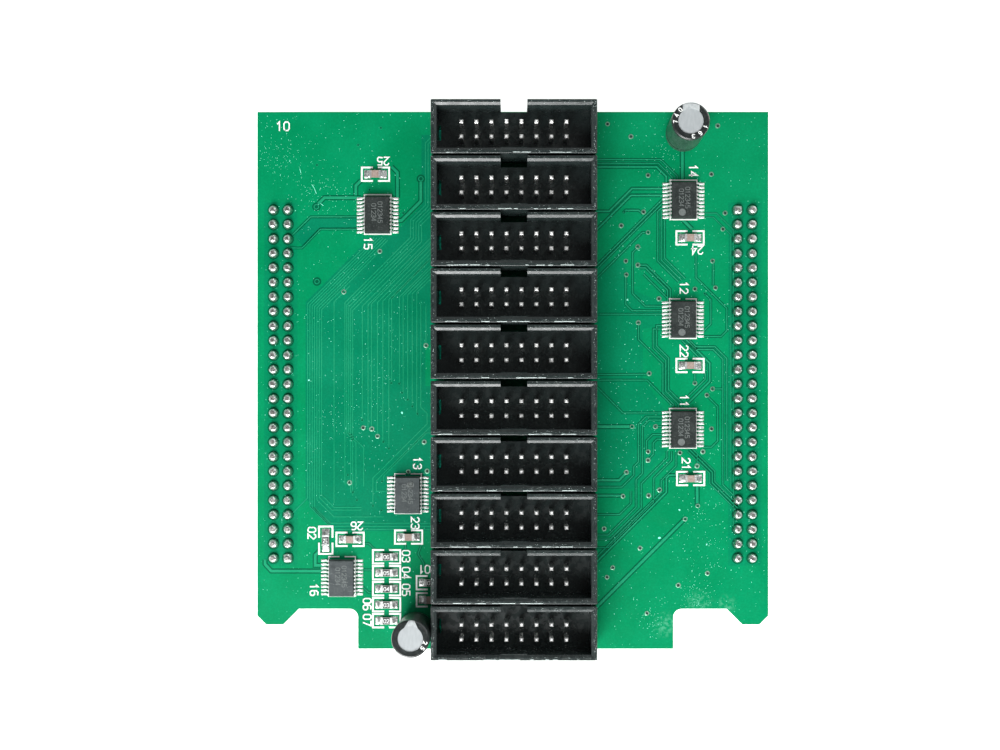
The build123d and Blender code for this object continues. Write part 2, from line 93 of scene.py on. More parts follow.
class Pile:
    """Points and faces of one piece, in millimetres, gathered before its mesh is made."""

    def __init__(self):
        self.points = []
        self.faces = []
        self.finish = []

    def add(self, points, faces, finish=0):
        base = len(self.points)
        self.points += [tuple(p) for p in points]
        self.faces += [tuple(base + i for i in face) for face in faces]
        self.finish += [finish] * len(faces)

    def loft(self, rings, finish=0, capped=True):
        """A closed skin through rings of equal length, each turning the same way."""
        count = len(rings[0])
        points = [p for ring in rings for p in ring]
        faces = []
        for level in range(len(rings) - 1):
            low, high = level * count, (level + 1) * count
            for i in range(count):
                j = (i + 1) % count
                faces.append((low + i, low + j, high + j, high + i))
        if capped:
            faces.append(tuple(reversed(range(count))))
            faces.append(tuple((len(rings) - 1) * count + i for i in range(count)))
        self.add(points, faces, finish)

    def strip(self, path, left, right, low, high, shoulder=0, finish=0):
        """A flat band along a path, from one offset to another, with sloping shoulders."""
        rings = []
        for (x, y), (nx, ny) in zip(path, mitres(path)):
            section = [(left - shoulder, high), (right + shoulder, high), (right, low), (left, low)]
            rings.append([(x + nx * offset, y + ny * offset, z) for offset, z in section])
        self.loft(rings, finish)

    def stroke(self, path, width, low, high, finish=0):
        """A printed line with blunt rounded ends."""
        tip = width * 0.38
        path = [Vector(p) for p in path]
        start = path[0] + (path[0] - path[1]).normalized() * tip
        end = path[-1] + (path[-1] - path[-2]).normalized() * tip
        stations = [(start, 0.5)] + [(p, 1) for p in path] + [(end, 0.5)]
        normals = mitres([p for p, _ in stations])
        rings = []
        for (p, share), (nx, ny) in zip(stations, normals):
            half = width * share / 2
            section = [(half, high), (-half, high), (-half, low), (half, low)]
            rings.append([(p.x + nx * offset, p.y + ny * offset, z) for offset, z in section])
        self.loft(rings, finish)

    def plate(self, outline, low, high, finish=0):
        """A flat prism under an outline that turns anticlockwise."""
        self.loft([[(x, y, z) for x, y in outline] for z in (low, high)], finish)

    def turned(self, x, y, profile, segments=24, finish=0):
        """A ring or a dome spun about the upright through (x, y), from (radius, height) pairs."""
        rings = []
        for radius, height in profile:
            rings.append([(x + radius * c, y + radius * s, height) for c, s in circle(segments)])
        self.loft(rings, finish, capped=False)

    def make(self, name, slot, *materials, smooth=False):
        mesh = bpy.data.meshes.new(name)
        mesh.from_pydata([(x * MM, y * MM, z * MM) for x, y, z in self.points], [], self.faces)
        for material in materials:
            mesh.materials.append(material)
        mesh.polygons.foreach_set("material_index", self.finish)
        mesh.update()
        if smooth:
            mesh.shade_smooth()
        piece = bpy.data.objects.new(name, mesh)
        bpy.context.scene.collection.objects.link(piece)
        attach(piece, "root")
        return piece


def circle(segments):
    step = 2 * math.pi / segments
    return [(math.cos(i * step), math.sin(i * step)) for i in range(segments)]


def rectangle(left, low, right, high):
    return [(left, low), (right, low), (right, high), (left, high)]


def turned_path(path, x, y, turn):
    """A path turned about its own origin by some degrees, then moved to (x, y)."""
    angle = math.radians(turn)
    c, s = math.cos(angle), math.sin(angle)
    return [(x + c * px - s * py, y + s * px + c * py) for px, py in path]


def ring_profile(inner, outer, height):
    """A flat ring's closed section, from (radius, height) pairs."""
    low, high = TOP - BED, TOP + height
    return [(inner, low), (outer, low), (outer, high), (inner, high), (inner, low)]


def mitres(path):
    """The offset direction at each point of a path, to its left and long enough for the corner."""
    points = [Vector((p[0], p[1])) for p in path]
    sides = []
    for a, b in zip(points, points[1:]):
        along = (b - a).normalized()
        sides.append(Vector((-along.y, along.x)))
    found = [sides[0]]
    for before, after in zip(sides, sides[1:]):
        found.append((before + after) / (1 + before.dot(after)))
    return found + [sides[-1]]


def joined(groups):
    """Unites the keys of each group, and returns a function from a key to the first of its set."""
    owner = {}

    def root(key):
        owner.setdefault(key, key)
        while owner[key] != key:
            owner[key] = owner[owner[key]]
            key = owner[key]
        return key

    for first, *others in groups:
        for key in others:
            owner[root(key)] = root(first)
    return root


def islands(node):
    """The separate solids of a CAD node, as (lowest, highest) corners in millimetres."""
    mesh = nodes[node].data
    keys = [tuple(round(c, 7) for c in v.co) for v in mesh.vertices]
    root = joined([keys[i] for i in polygon.vertices] for polygon in mesh.polygons)
    groups = {}
    for key in dict.fromkeys(keys):
        groups.setdefault(root(key), []).append(key)
    boxes = []
    for points in groups.values():
        boxes.append([Vector([pick(axis) / MM for axis in zip(*points)]) for pick in (min, max)])
    return sorted(boxes, key=lambda box: (round(box[0].x, 3), round(box[0].y, 3)))


def chip_spots(node):
    """The middle of each chip part of a node, its turn in degrees, and the height of its top."""
    for low, high in islands(node):
        size = high - low
        yield (low + high) / 2, 0 if size.x > size.y else 90, high.z


# ---- Materials ----


class Finish:
    """A Principled material, and the few node chains that the finishes share."""

    def __init__(self, name, colour, roughness, metallic=0, **plain):
        self.material = bpy.data.materials.new(name)
        self.material.use_nodes = True
        tree = self.material.node_tree
        self.nodes, self.links = tree.nodes, tree.links
        self.shader = self.nodes["Principled BSDF"]
        self.set("Base Color", (*colour, 1))
        self.set("Roughness", roughness)
        self.set("Metallic", metallic)
        for socket, value in plain.items():
            self.set(socket.replace("_", " "), value)
        self.place = self.nodes.new("ShaderNodeTexCoord").outputs["Object"]
        self.bumps = None

    def set(self, socket, value):
        self.shader.inputs[socket].default_value = value

    def node(self, kind, *inputs, **settings):
        made = self.nodes.new("ShaderNode" + kind)
        for key, value in settings.items():
            setattr(made, key, value)
        for slot, value in inputs:
            if isinstance(value, bpy.types.NodeSocket):
                self.links.new(value, made.inputs[slot])
            else:
                made.inputs[slot].default_value = value
        return made

    def noise(self, size, detail=2, stretch=None):
        """Noise whose patches are about the given size, in millimetres."""
        place = self.place
        if stretch:
            place = self.node("Mapping", ("Vector", place), ("Scale", stretch)).outputs["Vector"]
        made = self.node("TexNoise", ("Vector", place), ("Scale", 1 / (size * MM)), ("Detail", detail))
        return made.outputs["Fac"]

    def ramp(self, value, low, high, first=0, last=1):
        """A smooth step of value from low to high."""
        made = self.node(
            "MapRange", ("Value", value), ("From Min", low), ("From Max", high),
            ("To Min", first), ("To Max", last), interpolation_type="SMOOTHSTEP",
        )
        return made.outputs["Result"]

    def patches(self, size, detail, low, high, first=0, last=1):
        """Noise of the given size, stepped from first to last."""
        return self.ramp(self.noise(size, detail), low, high, first, last)

    def maths(self, operation, a, b=0):
        return self.node("Math", (0, a), (1, b), operation=operation).outputs[0]

    def times(self, product, *others):
        for other in others:
            product = self.maths("MULTIPLY", product, other)
        return product

    def blend(self, share, a, b):
        """A mix of two colours, each a socket or red, green and blue."""
        full = [c if isinstance(c, bpy.types.NodeSocket) else (*c, 1) for c in (a, b)]
        made = self.node("Mix", (0, share), (6, full[0]), (7, full[1]), data_type="RGBA")
        return made.outputs[2]

    def mixed(self, share, a, b):
        return self.node("Mix", (0, share), (2, a), (3, b), data_type="FLOAT").outputs[0]

    def axis(self, name):
        return self.node("SeparateXYZ", (0, self.place)).outputs[name]

    def facing_up(self):
        normal = self.node("NewGeometry").outputs["True Normal"]
        return self.node("SeparateXYZ", (0, normal)).outputs["Z"]

    def specks(self, size, share, radius):
        """Scattered dust: 1 in dots about size apart, of which only a share is kept."""
        cell = self.node("TexVoronoi", ("Vector", self.place), ("Scale", 1 / (size * MM)))
        draw = self.node("SeparateColor", (0, cell.outputs["Color"])).outputs[0]
        dot = self.ramp(cell.outputs["Distance"], radius, radius * 0.5)
        return self.times(self.maths("LESS_THAN", draw, share), dot)

    def colour(self, socket):
        self.links.new(socket, self.shader.inputs["Base Color"])

    def gloss(self, socket):
        self.links.new(socket, self.shader.inputs["Roughness"])

    def bump(self, height, depth):
        """Adds relief of the given depth, in millimetres."""
        inputs = [("Height", height), ("Distance", depth * MM)]
        if self.bumps:
            inputs.append(("Normal", self.bumps))
        self.bumps = self.node("Bump", *inputs).outputs["Normal"]
        self.links.new(self.bumps, self.shader.inputs["Normal"])


DUST = (0.62, 0.68, 0.66)
MASK_DUST = (0.11, 0.66, 0.42)
POWDER = (0.12, 0.46, 0.3)

# Powdery residue by the lower right notch: x, y and reach
SMUDGES = ((32.6, -39, 3.2), (37.4, -39.4, 2.4), (26.8, -42.9, 3))


def mask_finish(name, deep, light, specks=True):
    """Green solder mask: slow colour drift, fine grain, residue, and settled dust."""
    made = Finish(name, light, 0.42, Specular_IOR_Level=0.06)
    colour = made.blend(made.patches(9, 3, 0.3, 0.7), deep, light)
    shade = made.blend(made.patches(0.35, 3, 0.35, 0.75), (0.9, 0.9, 0.9), (1.05, 1.05, 1.05))
    colour = made.node(
        "Mix", (0, 1), (6, colour), (7, shade), data_type="RGBA", blend_type="MULTIPLY"
    ).outputs[2]
    if specks:
        haze = made.times(made.patches(5.5, 2, 0.6, 0.78), made.patches(0.18, 4, 0.45, 0.8), 0.08)
        dots = made.maths("MAXIMUM", made.specks(0.9, 0.22, 0.1), haze)
        dots = made.maths("MAXIMUM", dots, made.specks(0.5, 0.12, 0.14))
        colour = made.blend(dots, colour, MASK_DUST)
        powder = made.patches(0.55, 5, 0.4, 0.72)
        for x, y, reach in SMUDGES:
            off = made.maths("ADD", *(
                made.maths("POWER", made.maths("SUBTRACT", made.axis(axis), value * MM), 2)
                for axis, value in (("X", x), ("Y", y))
            ))
            near = made.ramp(made.maths("SQRT", off), 0, reach * MM, 0.6, 0)
            colour = made.blend(made.times(near, powder), colour, POWDER)
        made.gloss(made.mixed(dots, made.patches(1.4, 3, 0.2, 0.8, 0.34, 0.48), 0.8))
    made.colour(colour)
    made.bump(made.noise(0.9, 4), 0.012)
    made.bump(made.noise(0.12, 2), 0.003)
    return made.material


def laminate_finish():
    """The cut edge of the glass-epoxy panel: layered fibres, with a stained rim of mask."""
    made = Finish("glass_epoxy_edge", (0.42, 0.4, 0.2), 0.7)
    layers = made.noise(0.16, 2, stretch=(0.15, 0.15, 1))
    colour = made.blend(made.ramp(layers, 0.35, 0.65), (0.2, 0.28, 0.12), (0.5, 0.47, 0.27))
    made.colour(made.blend(made.patches(1.6, 3, 0.4, 0.75), colour, (0.3, 0.26, 0.16)))
    made.bump(layers, 0.04)
    made.bump(made.noise(0.1, 3), 0.03)
    return made.material


def plastic_finish(name, colour, worn, roughness, dusty=True):
    """Moulded black plastic: a fine spark-eroded grain, worn patches, and dust on what faces up."""
    made = Finish(name, colour, roughness, IOR=1.52)
    shade = made.blend(made.patches(3, 3, 0.3, 0.75), colour, worn)
    rough = made.patches(1.2, 3, 0.25, 0.8, roughness - 0.08, roughness + 0.12)
    if dusty:
        lying = made.ramp(made.facing_up(), 0.3, 0.9)
        height = made.ramp(made.axis("Z"), (TOP + 5) * MM, (TOP + 8.9) * MM, 0.16, 1)
        film = made.times(
            made.patches(0.14, 5, 0.5, 0.8), 0.1, made.patches(2.5, 2, 0.35, 0.7, 0.35, 1)
        )
        dots = made.maths("MAXIMUM", film, made.times(made.specks(0.34, 0.24, 0.13), 0.6))
        dust = made.times(dots, lying, height)
        shade = made.blend(dust, shade, DUST)
        rough = made.mixed(dust, rough, 0.85)
    made.colour(shade)
    made.gloss(rough)
    made.bump(made.noise(0.0875, 3), 0.008)
    made.bump(made.noise(2.2, 2), 0.02)
    return made.material


def metal_finish(name, bright, dull, roughness, patch=0.4, metallic=1, dent=0.01):
    """Plating or solder: patches of tarnish, uneven gloss and small dents."""
    made = Finish(name, bright, roughness, metallic)
    tarnish = made.patches(patch, 3, 0.35, 0.72)
    made.colour(made.blend(tarnish, bright, dull))
    made.gloss(made.patches(patch * 0.6, 2, 0.25, 0.8, roughness * 0.7, roughness * 1.5))
    made.bump(made.noise(patch * 0.8, 2), dent)
    return made.material


def pin_finish():
    """Square pins: polished sides, and a pale cut tip that is marked unevenly."""
    made = Finish("pin_plating", (0.9, 0.9, 0.88), 0.3, 1)
    tip = made.ramp(made.facing_up(), 0.6, 0.98)
    patches = made.patches(0.45, 3, 0.3, 0.6)
    made.links.new(made.mixed(made.times(tip, patches), 1, 0.1), made.shader.inputs["Metallic"])
    made.colour(made.blend(made.noise(0.3, 3), (0.98, 0.98, 0.96), (0.84, 0.85, 0.83)))
    made.gloss(made.patches(0.5, 2, 0.3, 0.7, 0.24, 0.42))
    made.bump(made.noise(0.3, 2), 0.008)
    return made.material


def ceramic_finish(name, first, second, roughness=0.5):
    """Fired ceramic or glaze: fine mottling and a faint grain."""
    made = Finish(name, first, roughness)
    made.colour(made.blend(made.patches(0.3, 4, 0.3, 0.7), first, second))
    made.gloss(made.patches(0.2, 2, 0.3, 0.7, roughness - 0.1, roughness + 0.15))
    made.bump(made.noise(0.07, 3), 0.006)
    return made.material


def package_finish(name, deep, light, grain):
    """Moulded epoxy: slow drift in shade, glass specks, and a little dust on its top."""
    made = Finish(name, light, 0.55, Specular_IOR_Level=0.3)
    base = made.blend(made.patches(1.6, 3, 0.3, 0.7), deep, light)
    lying = made.ramp(made.facing_up(), 0.4, 0.95)
    specks = made.maths("MAXIMUM", made.specks(0.3, 0.2, 0.2), made.specks(0.5, 0.3, 0.12))
    film = made.times(made.patches(0.3, 5, 0.45, 0.8), 0.05)
    dust = made.times(made.maths("MAXIMUM", made.times(specks, grain), film), lying)
    made.colour(made.blend(dust, base, (0.5, 0.54, 0.53)))
    made.gloss(made.patches(0.5, 3, 0.3, 0.7, 0.45, 0.68))
    made.bump(made.noise(0.06, 3), 0.008)
    return made.material


def ink_finish(name, colour, worn):
    """Printed ink: not quite even, and thin in places."""
    made = Finish(name, colour, 0.6)
    made.colour(made.blend(made.patches(0.25, 4, 0.5, 0.85), colour, worn))
    made.bump(made.noise(0.1, 3), 0.01)
    return made.material


def sleeve_finish(name, centre, stripe_at, half_width, taper):
    """Shrunk black sleeve. A pale stripe faces one way from its top's middle, and may taper."""
    made = Finish(name, (0.02, 0.022, 0.022), 0.32, Coat_Weight=0.3, Coat_Roughness=0.2)
    x = made.maths("SUBTRACT", made.axis("X"), centre.x * MM)
    y = made.maths("SUBTRACT", made.axis("Y"), centre.y * MM)
    c, s = math.cos(math.radians(stripe_at)), math.sin(math.radians(stripe_at))
    along = made.maths("ADD", made.times(x, c), made.times(y, s))
    across = made.maths("SUBTRACT", made.times(y, c), made.times(x, s))
    limit = made.maths("SUBTRACT", half_width * MM, made.times(along, taper))
    stripe = made.maths("LESS_THAN", made.maths("ABSOLUTE", across), limit)
    stripe = made.times(stripe, made.maths("GREATER_THAN", along, 0))
    if taper:
        stripe = made.times(stripe, made.maths("GREATER_THAN", made.facing_up(), 0.5))
    black = made.blend(made.patches(0.5, 4, 0.4, 0.75), (0.008, 0.011, 0.011), (0.024, 0.03, 0.029))
    wall = made.ramp(made.facing_up(), 0.5, 0.2)
    fine = made.ramp(made.noise(0.12, 2, stretch=(1, 1, 0.35)), 0.5, 0.66)
    coarse = made.ramp(made.noise(1.5, 2, stretch=(1, 1, 0.4)), 0.3, 0.5)
    black = made.blend(made.times(fine, coarse, wall, 0.3), black, (0.42, 0.5, 0.47))
    black = made.blend(made.times(made.specks(0.35, 0.25, 0.16), 0.3), black, DUST)
    grey = made.blend(made.patches(0.6, 3, 0.3, 0.7), (0.36, 0.39, 0.4), (0.5, 0.53, 0.53))
    made.colour(made.blend(stripe, black, grey))
    made.bump(made.noise(0.8, 2), 0.03)
    made.bump(made.noise(0.1, 2), 0.006)
    return made.material


def can_finish():
    """Aluminium drawn into a can: a satin top with fine radial and rolled marks."""
    made = Finish("drawn_aluminium", (0.4, 0.43, 0.44), 0.55, 0.3)
    marks = made.noise(0.3, 4, stretch=(1, 0.2, 1))
    made.colour(made.blend(made.ramp(marks, 0.3, 0.7), (0.37, 0.4, 0.41), (0.42, 0.45, 0.46)))
    made.gloss(made.ramp(marks, 0.3, 0.7, 0.5, 0.62))
    made.bump(marks, 0.004)
    return made.material


def rubber_finish():
    made = Finish("bung_rubber", (0.03, 0.03, 0.03), 0.8)
    made.colour(made.blend(made.noise(0.4, 4), (0.02, 0.02, 0.02), (0.07, 0.068, 0.065)))
    made.bump(made.noise(0.15, 3), 0.01)
    return made.material


def foil_finish():
    """The edge-on turns of foil and paper in the wound element."""
    made = Finish("wound_foil", (0.6, 0.58, 0.52), 0.5, 0.4)
    turns = made.node(
        "TexWave", ("Vector", made.place), ("Scale", 3000), ("Distortion", 1.5), wave_type="RINGS"
    )
    made.colour(made.blend(turns.outputs["Fac"], (0.4, 0.36, 0.28), (0.72, 0.71, 0.68)))
    made.bump(turns.outputs["Fac"], 0.01)
    return made.material


pour = mask_finish("solder_mask", (0, 0.222, 0.083), (0.001, 0.255, 0.102))
bed = mask_finish("solder_mask_bare", (0, 0.18, 0.084), (0.002, 0.21, 0.102))
# A darker mask, for the bare field right of the headers and for painted shade round the sockets.
bare_and_shade_bed = mask_finish("solder_mask_bare_and_painted_shade", (0, 0.197, 0.082), (0.001, 0.228, 0.1))
# Dark gap mask, also used as painted shade under the header stack and round the socket domes.
clearance_and_shade = mask_finish("solder_mask_gap_and_painted_shade", (0, 0.09, 0.04), (0, 0.115, 0.052), specks=False)
track = mask_finish("solder_mask_track", (0.006, 0.268, 0.124), (0.018, 0.305, 0.152), specks=False)
laminate = laminate_finish()
tinned = metal_finish("tinned_copper", (0.29, 0.51, 0.39), (0.12, 0.31, 0.21), 0.42, 0.3, 0.6)
# A darker copy of the tin: painted shade on the via rings in the right half of the board.
shaded_tin = metal_finish("tin_painted_shade", (0.17, 0.36, 0.26), (0.08, 0.24, 0.16), 0.42, 0.3, 0.5)
solder = metal_finish("solder", (0.77, 0.82, 0.79), (0.46, 0.53, 0.5), 0.33, 0.5, dent=0.02)
lead_metal = metal_finish("lead_plating", (0.95, 0.97, 0.95), (0.78, 0.8, 0.79), 0.36, 0.3, 0.55)
paste_metal = metal_finish("reflowed_paste", (0.92, 0.94, 0.92), (0.6, 0.63, 0.61), 0.33, 0.45, 0.65, 0.02)
pool_metal = metal_finish("solder_pool", (0.8, 0.82, 0.8), (0.26, 0.29, 0.27), 0.33, 0.3, 0.85, 0.03)
pin_metal = pin_finish()
contact_metal = metal_finish("contact_plating", (0.75, 0.74, 0.7), (0.5, 0.48, 0.42), 0.3, 0.4)
terminal_metal = metal_finish("terminal_plating", (0.78, 0.79, 0.78), (0.5, 0.51, 0.5), 0.4, 0.25, 0.8)
header_black = plastic_finish("header_plastic", (0.011, 0.018, 0.0175), (0.02, 0.029, 0.028), 0.27)
socket_black = plastic_finish("socket_plastic", (0.02, 0.021, 0.022), (0.04, 0.042, 0.044), 0.42, False)
package_dark = package_finish("epoxy_black", (0.011, 0.016, 0.015), (0.024, 0.031, 0.029), 0.22)
package_grey = package_finish("epoxy_grey", (0.04, 0.05, 0.052), (0.06, 0.072, 0.074), 0.5)
white_ink = ink_finish("white_ink", (0.88, 0.9, 0.88), (0.7, 0.8, 0.74))
faint_ink = ink_finish("laser_mark", (0.13, 0.15, 0.145), (0.03, 0.038, 0.036))
capacitor_clay = ceramic_finish("capacitor_ceramic", (0.38, 0.3, 0.26), (0.27, 0.2, 0.17))
alumina = ceramic_finish("alumina", (0.8, 0.79, 0.76), (0.68, 0.67, 0.64), 0.45)
resistor_black = ceramic_finish("resistor_glaze", (0.02, 0.02, 0.022), (0.045, 0.045, 0.045), 0.32)
# Painted light: a bright mask finish for the board seen through the headers' floor slots.
slot_light_finish = mask_finish("solder_mask_painted_slot_light", (0.02, 0.75, 0.5), (0.05, 0.9, 0.62), specks=False)
# Pale flecks for the header rims: dust, and also the painted highlights along their front top edges.
rim_dust_and_glint = ink_finish("rim_dust_and_glint", (0.86, 1, 0.97), (0.5, 0.62, 0.58))
board_dust = ink_finish("board_dust", (0.3, 1, 0.8), (0.12, 0.82, 0.52))
via_shade = ceramic_finish("via_shade", (0.004, 0.02, 0.012), (0.008, 0.035, 0.02), 0.7)
aluminium = can_finish()
rubber = rubber_finish()
foil = foil_finish()


# ---- CAD nodes ----


def dress(node, *materials):
    """Gives a CAD node its finishes, and returns its mesh."""
    mesh = nodes[node].data
    mesh.materials.clear()
    for material in materials:
        mesh.materials.append(material)
    return mesh


def board_walls():
    """The board's upright faces, joined into one group for the rim and one for each hole."""
    mesh = nodes["circuit_board"].data
    walls = [p for p in mesh.polygons if abs(p.normal.z) < 0.5]
    corners = [[tuple(round(c, 6) for c in mesh.vertices[i].co) for i in p.vertices] for p in walls]
    root = joined(corners)
    groups = {}
    for wall, keys in zip(walls, corners):
        groups.setdefault(root(keys[0]), []).append(wall)
    return groups.values()


def dress_board():
    """Mask on both faces, bare laminate round the rim, tinned walls in the larger holes and painted shade on
    the vias' walls. Returns the vias' places.
    """
    mesh = dress("circuit_board", pour, laminate, tinned, via_shade)
    found, widest_hole = [], 5
    for group in board_walls():
        points = [mesh.vertices[i].co for p in group for i in p.vertices]
        x, y, _ = ((min(axis) / MM, max(axis) / MM) for axis in zip(*points))
        width = x[1] - x[0]
        is_rim, is_via = width > widest_hole, width < 2 * LARGEST_VIA
        for polygon in group:
            # Via walls take the dark via finish: painted shade down the narrow holes.
            polygon.material_index = 1 if is_rim else 3 if is_via else 2
        if is_via:
            found.append((sum(x) / 2, sum(y) / 2, width / 2))
    return sorted(found)


def top_frame(node):
    """A frame in millimetres on the middle of a node's highest flat ring, its Z out of the ring."""
    mesh = nodes[node].data
    level = max(p.center.z for p in mesh.polygons if p.normal.z > 0.99)
    ring = [p for p in mesh.polygons if p.normal.z > 0.99 and level - p.center.z < 0.6 * MM]
    points = [mesh.vertices[i].co for p in ring for i in p.vertices]
    middle = Vector([(min(axis) + max(axis)) / 2 / MM for axis in zip(*points)])
    z_axis = ring[0].normal.normalized()
    x_axis = (Vector((1, 0, 0)) - z_axis * z_axis.x).normalized()
    turn = Matrix((x_axis, z_axis.cross(x_axis), z_axis)).transposed()
    return Matrix.Translation(middle) @ turn.to_4x4()


def dress_nodes():
    finishes = [
        ("_socket_housing", socket_black), ("_housing", header_black), ("_pins", pin_metal),
        ("buffer_3_package", package_grey), ("buffer_6_package", package_grey),
        ("_socket_contacts", contact_metal), ("_package", package_dark),
        ("_capacitor_leads", contact_metal), ("_leads", lead_metal), ("_can", aluminium),
        ("_bung", rubber), ("_winding", foil), ("_joints", solder), ("_coats", resistor_black),
        ("_substrates", alumina), ("_terminals", terminal_metal), ("_bodies", capacitor_clay),
    ]
    for name in nodes:
        for ending, material in finishes:
            if name.endswith(ending):
                dress(name, material)
                break
    stripes = {"upper": (89, 1.38, 0), "lower": (86, 2.05, 0.52)}
    for name, (heading, half_width, taper) in stripes.items():
        centre = top_frame(f"{name}_capacitor_sleeve").translation
        finish = sleeve_finish(f"{name}_sleeve", centre, heading, half_width, taper)
        dress(f"{name}_capacitor_sleeve", finish)


vias = dress_board()
dress_nodes()


# ---- Solder ----


def rough_dome(pile, x, y, radius, height):
    """A dome of solder, a little lopsided, with a puckered top."""
    segments, levels = 20, 7
    lean = Vector((dice.uniform(-0.12, 0.12), dice.uniform(-0.12, 0.12)))
    sway, turn = dice.uniform(0, 0.05), dice.uniform(0, 6.28)
    pucker = dice.uniform(0, 0.09)
    height *= dice.uniform(0.9, 1.02)
    rings = []
    for level in range(levels + 1):
        climb = level / levels
        flat = math.cos(climb * math.pi / 2) ** 0.72
        spread = radius * (0.1 + 0.9 * flat)
        z = height * math.sin(climb * math.pi / 2)
        z -= pucker * max(0, climb - 0.75) * 4
        ring = []
        for c, s in circle(segments):
            wobble = 1 + sway * math.cos(2 * math.atan2(s, c) + turn)
            shift = lean * climb
            ring.append((x + shift.x + c * spread * wobble, y + shift.y + s * spread * wobble, TOP + z))
        rings.append(ring)
    pile.loft(rings)


def square_pad(pile, x, y, half, height):
    """The first pin's pad: solder that fills a square land, highest in its middle."""
    levels = 5
    rings = []
    for level in range(levels + 1):
        climb = level / levels
        z = TOP + height * math.sin(climb * math.pi / 2)
        spread = half * (1 - 0.8 * climb ** 2)
        power = 6 - 4 * climb
        ring = []
        for c, s in circle(24):
            reach = (abs(c) ** power + abs(s) ** power) ** (-1 / power)
            ring.append((x + c * spread * reach, y + s * spread * reach, z))
        rings.append(ring)
    pile.loft(rings)


def socket_domes(side):
    """One dome over each contact of a socket, and a square one at its first pin."""
    radius, height = 0.8, 0.98
    spots = [(low + high) / 2 for low, high in islands(f"{side}_socket_contacts")]
    inner = max(spots, key=lambda p: p.x) if side == "left" else min(spots, key=lambda p: p.x)
    column = [p for p in spots if abs(p.x - inner.x) < 0.1]
    first = min(column, key=lambda p: p.y) if side == "left" else max(column, key=lambda p: p.y)
    pile = Pile()
    for p in spots:
        if p is first:
            square_pad(pile, p.x, p.y, radius, height * 0.75)
        else:
            rough_dome(pile, p.x, p.y, radius, height)
    piece = pile.make(f"{side}_connector_solder", "solder", solder, smooth=True)
    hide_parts(f"{side}_socket_solder_joints")
    return spots


def pool(pile, x, y, length, width, rise, facing, finish=0):
    """A pad of solder that climbs toward one end. facing is the angle of its low end."""
    along, across = 9, 7
    c, s = math.cos(facing), math.sin(facing)
    seed = dice.uniform(0, 50)
    rings = []
    for i in range(along + 1):
        u = i / along
        ring = []
        for j in range(across + 1):
            v = 1 - 2 * j / across
            swell = (1 - abs(v) ** 4) * (1 - abs(2 * u - 1) ** 8)
            lump = 0.12 * math.sin(7 * u + seed) * math.cos(3 * v + seed)
            z = 0.012 + swell * rise(u) * (1 + lump)
            rounding = 1 - 0.22 * max(0, u - 0.7) * abs(v) - 0.2 * max(0, 0.12 - u)
            px, py = (u - 0.5) * length, v * width / 2 * rounding
            ring.append((x + c * px - s * py, y + s * px + c * py, TOP + z))
        base = [(ring[-1][0], ring[-1][1], TOP), (ring[0][0], ring[0][1], TOP)]
        rings.append(ring + base)
    pile.loft(rings, finish)


def chip_pools():
    """Solder under every chip lead and round every chip terminal."""
    heel, reach, pad = 2.66, 3.2, 3.68
    pile = Pile()

    def lead_rise(u):
        foot_end = (reach - heel) / (pad - heel)
        if u < foot_end:
            return 0.075
        return 0.14 - 0.1 * (u - foot_end) / (1 - foot_end)

    for name in sorted(nodes):
        if name.startswith("buffer_") and name.endswith("_leads"):
            low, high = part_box(name)
            middle = (low + high).x / 2 / MM
            for low, high in islands(name):
                spot = (low + high) / 2
                side = 1 if spot.x > middle else -1
                centre = middle + side * (heel + pad) / 2
                pool(pile, centre, spot.y, pad - heel, 0.43, lead_rise, 0 if side > 0 else math.pi)

    def end_rise(u):
        return 0.34 if u < 0.24 else 0.06 + 0.28 * math.exp(-((u - 0.24) / 0.28) ** 2)

    inner, outer, width = 0.72, 2.02, 1.46
    reach_out = (inner + outer) / 2
    for node in CHIP_NODES:
        for spot, turn, _ in chip_spots(node):
            for facing in (math.radians(turn), math.radians(turn) + math.pi):
                x, y = spot.x + math.cos(facing) * reach_out, spot.y + math.sin(facing) * reach_out
                pool(pile, x, y, outer - inner, width, end_rise, facing, 1)
    piece = pile.make("chip_solder", "solder", paste_metal, pool_metal, smooth=True)
    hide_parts("chip_solder_joints")


dome_spots = socket_domes("left") + socket_domes("right")
chip_pools()


# ---- Copper under the mask ----

tracks, gaps_and_shade, beds_and_shade = Pile(), Pile(), Pile()


def offset_path(path, distance):
    """A path's parallel, to its left by distance."""
    return [(x + n.x * distance, y + n.y * distance) for (x, y), n in zip(path, mitres(path))]


def bus(path, width, room, count=1, pitch=0.5, floor=gaps_and_shade):
    """Parallel tracks over one dark bed. The first follows the path and the rest lie to its right."""
    half = width / 2
    offsets = [-index * pitch for index in range(count)]
    floor.strip(path, max(offsets) + half + room, min(offsets) - half - room, TOP - BED, TOP + BED)
    for offset in offsets:
        tracks.strip(offset_path(path, offset), half, -half, TOP - BED, TOP + COPPER, MASK_SHOULDER)


THIN = {"width": 0.17, "room": 0.08}
FINE = {"width": 0.2, "room": 0.14}
SHORT = {"width": 0.24, "room": 0.16}
CLOSE = {"width": 0.3, "room": 0.16}
MEDIUM = {"width": 0.3, "room": 0.18}
BROAD = {"width": 0.4, "room": 0.16}
WIDE = {"width": 0.5, "room": 0.2}
BEDDED = {**THIN, "floor": beds_and_shade}
PAIR = {**FINE, "count": 2}
TRIO = {**THIN, "count": 3, "pitch": -0.45}

